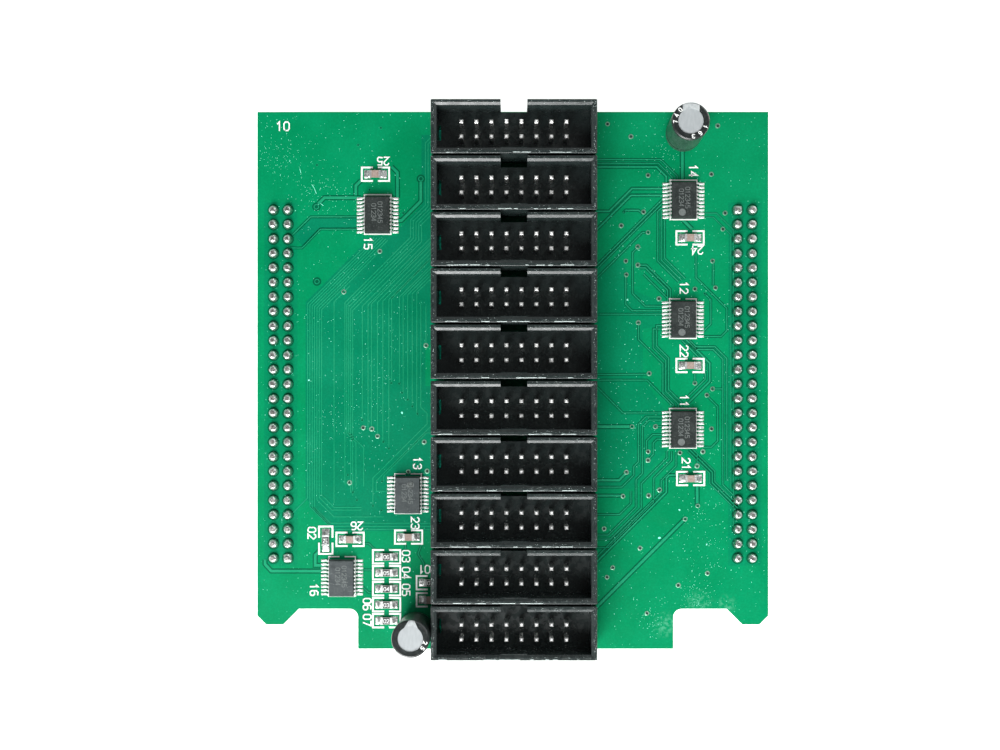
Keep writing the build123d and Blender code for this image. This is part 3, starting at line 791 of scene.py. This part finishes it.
# Each track's kind, then its corners
ROUTES = [
    # Single tracks in the bare field on the left
    (BEDDED, (-28.5, 16.6), (-31.3, 13.8), (-31.3, -21.5)),
    (BEDDED, (-15.2, 13), (-15.2, 6.1)),
    (BEDDED, (-16.1, 14), (-16.1, -4.7), (-15, -5.8), (-15, -7.6), (-24.5, -17.1), (-24.5, -21.7)),
    (BEDDED, (-13.2, -6.9), (-23.9, -17.6), (-23.9, -19.4), (-22, -19.4)),
    (BEDDED, (-13.5, -9.2), (-15.1, -9.2), (-16.8, -10.9), (-22.6, -16.7), (-22.6, -17.7)),
    (BEDDED, (-13.2, -12.2), (-14.6, -13.6)),
    # Round the upper left chip
    (WIDE, (-26.6, 32), (-33, 32), (-34.1, 30.9)),
    (FINE, (-26.6, 28.65), (-35.4, 28.65), (-38.6, 25.5)),
    (FINE, (-26.6, 26.5), (-33.7, 26.5), (-36.9, 23.2), (-39, 23.2)),
    (WIDE, (-16.1, 34.8), (-16.1, 31.4), (-19.5, 28), (-20.6, 28)),
    (WIDE, (-21.2, 37.4), (-20.2, 36.4), (-20.2, 32)),
    (WIDE, (-26.6, 35), (-27.5, 34.1), (-27.5, 32.4)),
    # Round the lower left chip and the resistors
    (WIDE, (-43.4, -31.4), (-43.4, -32.2), (-42.3, -33.4), (-32.9, -33.4)),
    (WIDE, (-32.9, -32.4), (-34.6, -32.4), (-34.6, -30.6), (-33.6, -29.6)),
    (FINE, (-26.6, -28.6), (-25.2, -28.6), (-24.2, -29.6), (-24.2, -31)),
    (FINE, (-26.7, -35.8), (-25.2, -37.2), (-24.2, -37.2)),
    (FINE, (-26.7, -33.2), (-24.2, -33.2)),
    (FINE, (-19.9, -30.6), (-18.8, -29.5), (-18.8, -28.6)),
    (FINE, (-16, -28.8), (-16.6, -30.4), (-15.6, -32), (-15.6, -33.6)),
    # From the upper headers to the upper right chip, and on to the right socket
    (FINE, (14, 38.7), (25.9, 38.7), (28.8, 35.8), (28.8, 35)),
    (FINE, (14, 38.05), (25.5, 38.05), (28, 35.5), (28, 35)),
    (MEDIUM, (14, 37.4), (25.2, 37.4), (26.9, 35.7), (26.9, 34.3)),
    (WIDE, (29.7, 40.4), (29.7, 34.9)),
    (MEDIUM, (26.6, 33.6), (20.9, 33.6), (16.9, 29.6), (14, 29.6)),
    (MEDIUM, (26.6, 32.4), (20.7, 32.4), (14, 25.7)),
    (PAIR, (26.6, 31.4), (14, 18.8)),
    (FINE, (26.6, 30.1), (25.9, 30.1), (25.4, 29.6), (25.4, 20.9), (29, 17.3)),
    (FINE, (26, 29.6), (26, 21.1), (29.6, 17.5)),
    (FINE, (26.6, 28.4), (26.6, 21.4), (30.2, 17.8)),
    (SHORT, (19.3, 29.3), (19.8, 29.8), (22, 29.8), (22.8, 29.2)),
    (FINE, (23.7, 25.9), (22.7, 25.9), (14, 17.2)),
    (FINE, (22, 23.4), (21, 22.4), (21, 15.2), (23.2, 13), (26.6, 13)),
    (PAIR, (22, 20.2), (23.4, 20.2), (27.6, 16), (27.6, 14)),
    (FINE, (19.8, 18.5), (19.8, 13.3), (20.9, 12.2), (26.6, 12.2)),
    (FINE, (22.9, 18.6), (27, 14.5)),
    (THIN, (33.3, 29.3), (35.7, 29.3), (38.7, 26.3), (38.7, -26)),
    (THIN, (33.3, 28.6), (35.1, 28.6), (38.2, 25.5), (38.2, -19)),
    (WIDE, (29.8, 28.1), (31.4, 26.5)),
    (FINE, (32.1, 22), (32.1, 18), (35.9, 14.2), (37.5, 12.6), (37.5, 8.7), (36.5, 7.7), (33.4, 7.7)),
    (FINE, (35.1, 20.9), (35.1, 16.6)),
    # Round the two middle right chips
    (FINE, (14, 11.6), (26.6, 11.6)),
    (FINE, (22, 10.1), (22, 7.2), (26.3, 2.9), (26.3, -2.3), (28.2, -4.2), (28.2, -5)),
    (FINE, (26.6, 9), (24.6, 9), (24.6, 5.7), (26.8, 3.5), (26.8, -1.9), (29, -4.1), (29, -5)),
    (FINE, (26.6, 9.6), (25.2, 9.6), (25.2, 6), (27.3, 3.9), (27.3, -1.6), (29.6, -3.9), (29.6, -5)),
    (FINE, (14, 1), (23.9, 1.1)),
    (FINE, (14, 0.05), (23.5, 0.05), (28.4, -4.85)),
    (FINE, (14, -0.4), (19.3, -5.7), (26.6, -5.7)),
    (WIDE, (14, -8.1), (20.9, -8.1)),
    (FINE, (25, -8.1), (26.6, -8.1)),
    (CLOSE, (30.3, 7.2), (34.5, 3), (34.5, -0.2), (30.8, -3.9)),
    (FINE, (29.6, 7), (33.7, 2.9), (33.7, 0.2), (30.2, -3.3)),
    (FINE, (30.8, 7.2), (32.1, 5.9), (35.4, 5.9), (37.5, 3.8), (37.5, -17.6)),
    (FINE, (30.9, 6.5), (32, 5.4), (35.1, 5.4), (36.8, 3.7), (36.8, -18.3), (39.1, -20.6)),
    (FINE, (33.6, 15.2), (34.7, 14.1), (34.7, 9.9), (33.4, 8.6)),
    (FINE, (34, -2.7), (35.9, -4.6), (35.9, -10.6), (34.8, -11.7), (33.4, -11.7)),
    (FINE, (35, -1.5), (36.8, -1.5)),
    (FINE, (31.9, -0.5), (31.9, 1.2)),
    (FINE, (26.6, -6.4), (23.3, -6.4), (22, -7.7), (22, -14.3), (21.2, -15.1), (21.2, -16.6),
     (19.1, -18.7), (14, -18.7)),
    (FINE, (26.6, -6.95), (23.9, -6.95), (22.7, -8.15), (22.7, -16.3), (21.6, -17.4), (21.6, -22.2),
     (16.7, -27.1), (14, -27.1)),
    (FINE, (26.6, -9.5), (24.5, -9.5), (23.4, -10.6), (23.4, -12.2)),
    (FINE, (26.6, -10.3), (25.3, -10.3), (24.6, -11), (24.6, -13), (23.8, -13.8)),
    # Fans from the lower right chip, down to the headers
    (BROAD, (19.9, -16.2), (18.6, -17.5), (14, -17.5)),
    (BROAD, (19.2, -20.2), (14, -20.2)),
    (FINE, (27, -12.4), (27, -13.6), (24.6, -16), (22.5, -18.1), (22.5, -22.4), (17.1, -27.8),
     (14, -27.8)),
    (FINE, (27.8, -12.4), (27.8, -14), (24.7, -17.1), (24.7, -21.3), (16.7, -29.3), (14, -29.3)),
    (FINE, (28.6, -12.6), (28.6, -15), (26, -17.6), (26, -19.6), (14, -31.6)),
    (MEDIUM, (28.6, -16.6), (27.4, -16.6), (26.9, -17.1), (26.9, -19.6), (14, -32.5)),
    (FINE, (20.7, -19.4), (20.7, -21.5), (18.7, -23.5), (14, -23.5)),
    (TRIO, (30.6, -12.4), (34.5, -16.3), (34.5, -18.1), (39.1, -22.7)),
    (FINE, (32.3, -15), (32.3, -13)),
    (WIDE, (32.3, -18.4), (32.3, -22)),
    (WIDE, (30.1, -24.3), (14, -40.4)),
]
UPPER_LEFT_STRIP = [(-36.8, 23.5), (-33.6, 26.6), (-26.6, 26.6), (-26.6, 28.5), (-35.3, 28.5), (-38.4, 25.4)]


def left_bundle():
    """Seven tracks down the left, which part at the bottom."""
    pitch, first_x, corner_y = 0.41, -35.95, 13.4
    turn = math.tan(math.radians(22.5))
    ends_x = [-24.3, -23.8, -23.2, -22.7, -22.2, -21.9, -23.4]
    for index, end_x in enumerate(ends_x):
        x = first_x + pitch * index
        y = corner_y - turn * pitch * index
        if index == 0:
            tail = [(x, -20.6), (-39.3, -24), (-39.4, -26)]
        elif index < 4:
            level = -26.1 + 0.55 * (index - 1)
            drop = 4.6 - 0.6 * index
            tail = [(x, level + drop), (x + drop, level), (-13, level)]
        elif index == 4:
            tail = [(x, -20.9), (x + 3, -23.9), (-22.6, -23.9)]
        else:
            level = -22.7 + 0.45 * (index - 5)
            tail = [(x, level + 2.2), (x + 2.2, level), (-26.5, level)]
        bus([(end_x, y + (end_x - x)), (x, y)] + tail, **BEDDED)


def middle_bundle():
    """Five nested tracks that jog past the upper left chip and run down to the field of vias."""
    route = [(-14, 42.9), (-15.3, 41.6), (-15.3, 30.7), (-17.9, 28.1), (-17.9, 25.1), (-29.4, 13.6)]
    jogs = {1: (1.6, -9.3), 2: (2.6, -9.2)}
    for index in range(5):
        line = offset_path(route, 0.48 * index)
        x = line[-1][0]
        if index in jogs:
            jog, foot = jogs[index]
            drop = [(x, foot), (x + jog, foot - jog), (x + jog, -18.6)]
        else:
            drop = [(x, -18.2 - 0.5 * index)]
        bus(line + drop, **BEDDED)


def upright_field():
    """Single tracks that leave the headers at 45 degrees and run down to their vias."""
    feet = [
        (-26.35, -7), (-25.35, -8.4), (-24.75, -8.6), (-23.7, -9.8), (-22.75, -10.8), (-21.7, -12),
        (-21.2, -0.5), (-19.85, -0.7), (-19.2, -2.2), (-18.4, -3.5), (-17.6, -4.5), (-16.8, -5.9),
    ]
    edge_x, slope, top_y = -13, 0.25, 13
    for x, foot in feet:
        corner = top_y + slope * (x - feet[0][0])
        bus([(edge_x, corner + edge_x - x), (x, corner), (x, foot)], **BEDDED)


def underside_routes():
    """Tracks on the lower face, from each header's end pins to the sockets' inner columns."""
    pin_x = sorted({round((low + high).x / 2, 2) for low, high in islands("header_01_pins")})
    rows = []
    for number in HEADERS:
        rows += sorted({round((low + high).y / 2, 2) for low, high in islands(f"header_{number:02d}_pins")})
    rows.sort(reverse=True)
    contacts = [(low + high) / 2 for low, high in islands("right_socket_contacts")]
    inner_x = min(p.x for p in contacts)
    column = sorted({round(p.y, 2) for p in contacts}, reverse=True)
    bend_x, spare_rows = 36.4, 2
    low, high = BOTTOM + BED, BOTTOM - COPPER
    for row, y in enumerate(rows):
        target = column[row + spare_rows]
        for side, start in ((-1, pin_x[0]), (1, pin_x[-1])):
            path = [(start, y), (side * (bend_x - abs(y - target)), y), (side * bend_x, target),
                    (side * inner_x, target)]
            gaps_and_shade.strip(path, -0.28, 0.28, low, BOTTOM - BED)
            tracks.strip(path, -0.14, 0.14, low, high, -MASK_SHOULDER)


def bare_fields_and_shade():
    """Areas with no copper pour, which look a little darker, and darker plates of painted shade under the
    header stack and round the sockets.
    """
    outlines = [
        [(-36.3, -20.6), (-31.6, -26.4), (-13, -26.4), (-13, -1), (-15.3, -1), (-15.3, 6.2),
         (-13, 6.2), (-13, 43), (-16, 43), (-16, 30.6), (-19.9, 26.6), (-19.9, 25.4),
         (-24.6, 25.4), (-36.3, 13.7)],
        [(13, 20), (13, -19), (21, -19), (23, -17), (26.6, -12.6), (26.6, -5),
         (22.8, 0.4), (22.8, 9), (26.6, 9.6), (26.6, 13.5), (20.6, 16), (19.4, 21), (15, 21)],
    ]
    for index, outline in enumerate(outlines):
        beds_and_shade.plate(outline, TOP - BED, TOP + BED / 2, index)
    # Painted shade: a dark plate under the whole header stack, so the board in the gaps between the headers
    # and under their feet reads dark.
    level = TOP + BED * 0.3
    low, high = HOUSINGS[-1][0], HOUSINGS[0][1]
    inset, end = 0.3, 1.7
    gaps_and_shade.plate(rectangle(low.x + end, low.y + inset, high.x - inset, high.y - inset), TOP - BED, level)
    # Painted shade: a darker plate round each socket's joints.
    margin = 1
    for side in ("left", "right"):
        low, high = box_mm(f"{side}_socket_contacts")
        area = rectangle(low.x - margin, low.y - margin, high.x + margin, high.y + margin)
        beds_and_shade.plate(area, TOP - BED, level, 1)


def painted_slot_lights():
    """Painted light: a bright green plate under the slot at the left end of each header's floor, standing in
    for the lit mask seen through it.
    """
    pile = Pile()
    width, half_length, inset = 0.7, 1.3, 0.85
    for low, high in HOUSINGS:
        left, middle = low.x + inset, (low + high).y / 2 + 0.1
        slot = rectangle(left, middle - half_length, left + width, middle + half_length)
        pile.plate(slot, TOP - BED, TOP + BED)
    pile.make("painted_slot_lights", "board", slot_light_finish)


def dome_gaps_and_shadows():
    """A dark ring round each socket joint: partly the gap in the pour, partly painted shadow round the dome.
    """
    for p in dome_spots:
        gaps_and_shade.turned(p.x, p.y, ring_profile(0.76, 1.06, BED))


bare_fields_and_shade()
left_bundle()
middle_bundle()
upright_field()
for kind, *corners in ROUTES:
    bus(corners, **kind)
beds_and_shade.plate(UPPER_LEFT_STRIP, TOP - BED, TOP + BED)
underside_routes()
dome_gaps_and_shadows()
painted_slot_lights()
tracks.make("tracks", "board", track)
gaps_and_shade.make("track_clearances_and_painted_shade", "board", clearance_and_shade)
beds_and_shade.make("bare_fields_and_painted_shade", "board", bed, bare_and_shade_bed)


# ---- Vias ----


def via_rings():
    """A tinned ring round each via, on both faces. Rings in the right half, above y = -12, take a darker
    copy of the tin: painted shade.
    """
    pile = Pile()
    for x, y, radius in vias:
        inner, outer = radius + 0.04, radius + dice.uniform(0.2, 0.25)
        is_shaded = x > 0 and y > -12
        for face, away in ((TOP, 1), (BOTTOM, -1)):
            foot, shoulder, crest = face - away * BED, face + away * TIN / 2, face + away * TIN
            profile = [(inner, foot), (outer, foot), (outer, shoulder), (outer - 0.06, crest),
                       (inner, crest), (inner, foot)]
            pile.turned(x, y, profile[::away], finish=int(is_shaded))
    pile.make("via_rings", "solder", tinned, shaded_tin)


def via_painted_shade():
    """A dark plug in each via, painted shade for the deep hole, level with the mask round it on the top
    face.
    """
    pile = Pile()
    eye, floor = 0.004, BOTTOM + 0.3
    for x, y, radius in vias:
        wall, lip = radius - 0.003, radius + 0.05
        profile = [(eye, floor), (wall, floor), (wall, TOP - BED), (lip, TOP - BED), (lip, TOP + BED),
                   (eye, TOP + BED)]
        pile.turned(x, y, profile, segments=12)
    pile.make("via_painted_shade", "board", via_shade)


def covered_vias():
    """Vias that the mask has closed over: a low ring with a dark dimple."""
    small = [
        (-23.1, 44.2), (-27.1, 41.2), (-34.3, 37.7), (-25.1, 33.4), (-19.2, 29.3), (-21.3, -0.5),
        (-19.9, -0.6), (-19.4, -2.2), (-18.4, -3.4), (-17.6, -4.6), (-16.7, -5.9), (-26.4, -7),
        (-22.7, -10.8), (-21.7, -12), (-28, -19.6), (-27.3, -21), (-24.5, -22), (-23, -22.8),
        (-22.9, -17.7), (-28.9, -16.6), (19.6, 29.5), (33.6, 15.2),
    ]
    large = [
        (-34.4, 30.4), (-34.3, 17.3), (-16.1, 35.3), (23.7, 25.9), (20.9, -8.1), (32.4, -22),
        (30.2, -24.3),
    ]
    pile = Pile()
    for size, spots in ((0.24, small), (0.46, large)):
        for x, y in spots:
            pile.turned(x, y, ring_profile(size * 0.55, size, COPPER))
            pile.turned(x, y, ring_profile(0.02, size * 0.7, COPPER * 1.2), finish=1)
    for x, y in large[:3]:
        pile.turned(x, y, ring_profile(0.46, 0.76, BED * 1.2), finish=1)
    pile.make("covered_vias", "board", track, clearance_and_shade)


via_rings()
via_painted_shade()
covered_vias()


# ---- Printed legend ----

# Each digit's strokes, in a cell 1 wide and 1.5 high
DIGITS = {
    "0": [[(0.25, 0), (0, 0.3), (0, 1.2), (0.25, 1.5), (0.75, 1.5), (1, 1.2), (1, 0.3), (0.75, 0),
           (0.25, 0)]],
    "1": [[(0.15, 1.15), (0.5, 1.5), (0.5, 0)]],
    "2": [[(0, 1.2), (0.25, 1.5), (0.75, 1.5), (1, 1.2), (1, 0.95), (0, 0), (1, 0)]],
    "3": [[(0, 1.3), (0.25, 1.5), (0.75, 1.5), (1, 1.25), (1, 1), (0.75, 0.8), (0.4, 0.8)],
          [(0.75, 0.8), (1, 0.55), (1, 0.25), (0.75, 0), (0.25, 0), (0, 0.2)]],
    "4": [[(0.75, 0), (0.75, 1.5), (0, 0.45), (1, 0.45)]],
    "5": [[(0.95, 1.5), (0.1, 1.5), (0.05, 0.85), (0.7, 0.9), (1, 0.65), (1, 0.25), (0.75, 0), (0, 0.1)]],
    "6": [[(0.85, 1.45), (0.3, 1.5), (0, 1.2), (0, 0.25), (0.25, 0), (0.75, 0), (1, 0.25), (1, 0.6),
           (0.75, 0.85), (0.1, 0.8)]],
    "7": [[(0, 1.5), (1, 1.5), (0.35, 0)]],
    "8": [[(0.25, 0), (0, 0.25), (0, 0.55), (0.25, 0.8), (0.75, 0.8), (1, 0.55), (1, 0.25), (0.75, 0),
           (0.25, 0)],
          [(0.25, 0.8), (0.05, 1), (0.05, 1.25), (0.25, 1.5), (0.75, 1.5), (0.95, 1.25), (0.95, 1),
           (0.75, 0.8)]],
    "9": [[(0.15, 0.05), (0.7, 0), (1, 0.3), (1, 1.25), (0.75, 1.5), (0.25, 1.5), (0, 1.25), (0, 0.9),
           (0.25, 0.65), (0.9, 0.7)]],
}


def numeral(pile, text, x, y, turn, height=1.55, line=0.21, level=TOP, lift=INK):
    """Digits in single strokes, centred on (x, y)."""
    scale, squeeze, step = (height - line) / 1.5, 0.92, 1.38
    width = (len(text) - 1) * step + 1
    for index, digit in enumerate(text):
        for path in DIGITS[digit]:
            path = [((u + index * step - width / 2) * scale * squeeze, (v - 0.75) * scale) for u, v in path]
            pile.stroke(turned_path(path, x, y, turn), line, level - BED, level + lift)


def chip_frame(pile, x, y, turn):
    """Two brackets round a chip capacitor or resistor, open in the middle of their long sides."""
    half_x, half_y, arm, line = 2.39, 1.175, 1.95, 0.3
    for side in (-1, 1):
        bracket = [(side * (half_x - arm), half_y), (side * half_x, half_y), (side * half_x, -half_y),
                   (side * (half_x - arm), -half_y)]
        path = turned_path(bracket, x, y, turn)
        pile.strip(path, line / 2, -line / 2, TOP - BED, TOP + INK)


def buffer_frame(pile, x, y, gap):
    """A rectangle round a buffer chip's package, which may have a gap at its first-lead end."""
    half_x, half_y, line = 2.33, 3.46, 0.2
    path = [(-gap, half_y), (-half_x, half_y), (-half_x, -half_y), (half_x, -half_y), (half_x, half_y),
            (gap, half_y)]
    path = [(x + px, y + py) for px, py in path]
    pile.strip(path, line / 2, -line / 2, TOP - BED, TOP + INK)


def node_middle(name):
    low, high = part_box(name)
    return (low + high) / 2 / MM


def legend():
    """Printed frames round the chips and chip parts, and two-digit numbers beside them."""
    pile = Pile()
    for node in CHIP_NODES:
        for spot, turn, _ in chip_spots(node):
            chip_frame(pile, spot.x, spot.y, turn)
    for number in range(1, 7):
        spot = node_middle(f"buffer_{number}_package")
        buffer_frame(pile, spot.x, spot.y + 0.15, 0.45 if number in (2, 3, 6) else 0)
    labels = [
        ("25", -22.7, 38.4, 180), ("26", -27.3, -25.5, 180), ("24", 32.3, 22.8, 180),
        ("01", -15.5, -33.1, 180), ("15", -25.35, 24, -90), ("14", 31.6, 36.7, -90),
        ("12", 30, 16.2, -90), ("22", 30, 5.1, -90), ("11", 30, -3.6, -90),
        ("21", 30.35, -14.65, -90), ("13", -16.7, -14.5, -90), ("23", -17.1, -25, -90),
        ("02", -35.2, -26.75, -90), ("16", -34.8, -36.7, -90), ("03", -18.7, -30.8, -90),
        ("04", -18.7, -33.75, -90), ("05", -18.7, -36.7, -90), ("06", -25.5, -39.2, -90),
        ("07", -25.5, -42, -90),
    ]
    for label in labels:
        numeral(pile, *label)
    numeral(pile, "10", -40.25, 44.5, 0, height=1.7)
    pile.make("printed_legend", "board", white_ink)


def underside_legend():
    """Header numbers on the lower face, to be read from below."""
    pile = Pile()
    flip = Matrix.Rotation(math.pi, 4, "Y")
    for number in HEADERS:
        figures = Pile()
        numeral(figures, f"{number:02d}", 0, 0, 0, level=0)
        spot = node_middle(f"header_{number:02d}_housing")
        placing = Matrix.Translation((spot.x + 12.4, spot.y, BOTTOM)) @ flip
        pile.add([placing @ Vector(p) for p in figures.points], figures.faces)
    pile.make("underside_legend", "board", white_ink)


def package_marks():
    """Faint rows of figures on each buffer chip, and a hazy round spot on most."""
    pile = Pile()
    rows = [("012345", 0.55), ("01234", -0.55)]
    spots = {1: (-0.45, -2.2), 2: (-0.35, -2.3), 3: (0.55, 1.75), 4: (-0.4, -2.2)}
    for number in range(1, 7):
        low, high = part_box(f"buffer_{number}_package")
        middle, level = (low + high) / 2 / MM, high.z / MM
        for text, shift in rows:
            numeral(pile, text, middle.x + shift, middle.y + 0.35, -90, 0.85, 0.1, level, FIGURE)
        if number in spots:
            x, y = middle.x + spots[number][0], middle.y + spots[number][1]
            low, high = level - BED, level + FIGURE
            pile.turned(x, y, [(0.01, low), (0.62, low), (0.62, high), (0.01, high)])
    pile.make("package_marks", "package_plastic", faint_ink)


def sleeve_marks():
    """Rating figures printed round the shoulder of each electrolytic's sleeve."""
    figures = {
        "upper": [("0", 133), ("4", 158), ("7", 182), ("1", -22), ("6", -52), ("3", -80)],
        "lower": [("2", -14), ("5", -36)],
    }
    reach, height = 2.54, 0.76
    pile = Pile()
    for name, marks in figures.items():
        ring = Pile()
        for text, angle in marks:
            x, y = reach * math.cos(math.radians(angle)), reach * math.sin(math.radians(angle))
            numeral(ring, text, x, y, angle - 90, height, 0.14, 0, 0.01)
        placing = top_frame(f"{name}_capacitor_sleeve")
        pile.add([placing @ Vector(p) for p in ring.points], ring.faces)
    pile.make("sleeve_marks", "capacitor_sleeve", white_ink)


def resistor_marks():
    pile = Pile()
    for number, (spot, turn, level) in enumerate(chip_spots("chip_resistor_coats"), start=1):
        numeral(pile, f"{number:02d}", spot.x, spot.y, turn, 0.72, 0.1, level, 0.012)
    pile.make("resistor_marks", "resistor_coat", white_ink)


legend()
underside_legend()
package_marks()
sleeve_marks()
resistor_marks()


# ---- Dust, and painted highlights on the header rims ----


def dust():
    """Scattered flecks on the board and along the tops of the headers, and painted highlights along the
    headers' front top edges.
    """
    pile = Pile()
    low, high = box_mm("circuit_board")
    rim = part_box("header_01_housing")[1].z / MM

    def fleck(x, y, z, size, finish=0):
        corners = [
            (x + size * dice.uniform(0.5, 1) * c, y + size * dice.uniform(0.5, 1) * s)
            for c, s in circle(6)
        ]
        pile.plate(corners, z - 0.01, z + 0.02, finish)

    margin, notch_top, tab_half = 0.4, low.y + 7.4, 26.4

    def on_board(x, y):
        if not (low.x + margin < x < high.x - margin and low.y + margin < y < high.y - margin):
            return False
        return y > notch_top or abs(x) < tab_half

    everywhere, per_rim, per_end, rim_glints = 1600, 150, 60, 9
    for _ in range(everywhere):
        x, y = dice.uniform(low.x, high.x), dice.uniform(low.y, high.y)
        size = dice.choice((0.04, 0.05, 0.065, 0.085))
        if on_board(x, y):
            fleck(x, y, TOP, size)
    drifts = [
        (-40.5, 39.5, 2.6, 130), (-34.5, 34, 2.4, 90), (-29, 31, 3, 60), (-31.5, -8, 3, 60),
        (-24, 1, 4, 90), (-27, -10, 4, 60), (31, 14, 4, 70), (27, 39.5, 2.4, 80),
        (32.4, -38.6, 1.6, 120), (25, -41.5, 1.6, 60), (34.5, -26, 4.5, 150), (21, -8, 4, 60),
    ]
    for x, y, spread, count in drifts:
        for _ in range(count):
            spot = dice.gauss(x, spread), dice.gauss(y, spread)
            size = dice.choice((0.04, 0.055, 0.07))
            if on_board(*spot):
                fleck(*spot, TOP, size)
    lumps = [
        (-35.7, 0.05, 0.2), (-19.4, -5.7, 0.27), (20.1, 14.1, 0.22), (25.7, -27.6, 0.3),
        (29.2, -22.7, 0.2), (34, -28.8, 0.15),
    ]
    for x, y, size in lumps:
        fleck(x, y, TOP, size)
    scratches = [
        [(-35.2, 34.3), (-34.8, 33.7), (-34.4, 32.7)], [(-34, 31.2), (-33.2, 30.6)],
        [(-37.3, 37), (-37.1, 36.3)],
    ]
    for path in scratches:
        pile.stroke(path, 0.07, TOP - BED, TOP + 0.02)
    for near, far in HOUSINGS:
        rims = ((near.y + 0.15, near.y + 0.75), (far.y - 0.75, far.y - 0.15))
        for _ in range(per_rim):
            x = dice.uniform(near.x + 0.2, far.x - 0.2)
            y = dice.choice([dice.uniform(*rim_span) for rim_span in rims])
            if abs(x - (near.x + far.x) / 2) >= 2.6:
                fleck(x, y, rim, dice.choice((0.02, 0.03, 0.045)), 1)
        for _ in range(per_end):
            x = dice.choice((near.x + dice.uniform(0.17, 0.6), far.x - dice.uniform(0.17, 0.6)))
            fleck(x, dice.uniform(near.y + 0.3, far.y - 0.3), rim, dice.choice((0.02, 0.03, 0.05)), 1)
        # Painted highlight: short pale dashes along the outer top edge of each header's front wall, where
        # that edge catches the light.
        for _ in range(rim_glints):
            x, y = dice.uniform(near.x + 1, far.x - 4), near.y + dice.uniform(0.14, 0.2)
            pile.stroke([(x, y), (x + dice.uniform(0.4, 2.6), y)], 0.07, rim - 0.03, rim + 0.01, 1)
    pile.make("dust_flecks_and_rim_glints", "board", board_dust, rim_dust_and_glint)


dust()


# ---- Stage ----


def stage():
    """A pale floor, soft studio lights from the front left, and the camera straight above."""
    size = 1.6
    mesh = bpy.data.meshes.new("studio_floor")
    corners = [(x, y, 0) for x, y in rectangle(-size, -size, size, size)]
    mesh.from_pydata(corners, [], [(0, 1, 2, 3)])
    floor = bpy.data.objects.new("studio_floor", mesh)
    bpy.context.scene.collection.objects.link(floor)
    paper = Finish(
        "studio_paper", (0.95, 0.95, 0.95), 0.9, Emission_Color=(1, 1, 1, 1), Emission_Strength=0.75
    )
    paper.colour(paper.blend(paper.noise(30, 2), (0.94, 0.94, 0.94), (0.96, 0.96, 0.96)))
    mesh.materials.append(paper.material)
    floor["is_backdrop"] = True

    def softbox(name, place, aim, width, height, power):
        light = bpy.data.lights.new(name, "AREA")
        light.shape = "RECTANGLE"
        light.size, light.size_y, light.energy = width, height, power
        lamp = bpy.data.objects.new(name, light)
        bpy.context.scene.collection.objects.link(lamp)
        turn = (Vector(aim) - Vector(place)).to_track_quat("-Z", "Y")
        lamp.matrix_world = Matrix.Translation(place) @ turn.to_matrix().to_4x4()

    softbox("key_softbox", (-0.13, -0.36, 0.38), (0, 0, 0.01), 0.3, 0.3, 4)
    softbox("front_strip", (0, -0.65, 0.3), (0, 0, 0.02), 1, 0.12, 5)
    softbox("fill_softbox", (0.35, 0.35, 0.5), (0, 0, 0.01), 0.5, 0.5, 1.2)

    world = bpy.data.worlds.new("studio_world")
    world.use_nodes = True
    tree = world.node_tree
    background = tree.nodes["Background"]
    place = tree.nodes.new("ShaderNodeTexCoord")
    split = tree.nodes.new("ShaderNodeSeparateXYZ")
    dim = tree.nodes.new("ShaderNodeMapRange")
    tree.links.new(place.outputs["Generated"], split.inputs[0])
    tree.links.new(split.outputs["Z"], dim.inputs["Value"])
    for socket, value in (("From Min", 0.3), ("From Max", 0.85), ("To Min", 0.56), ("To Max", 0.1)):
        dim.inputs[socket].default_value = value
    tree.links.new(dim.outputs["Result"], background.inputs["Strength"])
    background.inputs["Color"].default_value = (0.97, 0.985, 1, 1)
    bpy.context.scene.world = world

    camera = bpy.data.cameras.new("camera")
    camera.sensor_width, camera.lens = 36, 41.1
    camera.shift_x, camera.shift_y = -0.013, 0.01
    camera.clip_start = 0.01
    eye = bpy.data.objects.new("camera", camera)
    eye.location = (0.04 * MM, -0.82 * MM, TOP * MM + 0.2)
    bpy.context.scene.collection.objects.link(eye)
    bpy.context.scene.camera = eye
    bpy.context.scene.view_settings.view_transform = "Standard"


stage()

boxes = {"cad": cad_box, "visual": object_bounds()}
{name: [list(corner) for corner in box] for name, box in boxes.items()}
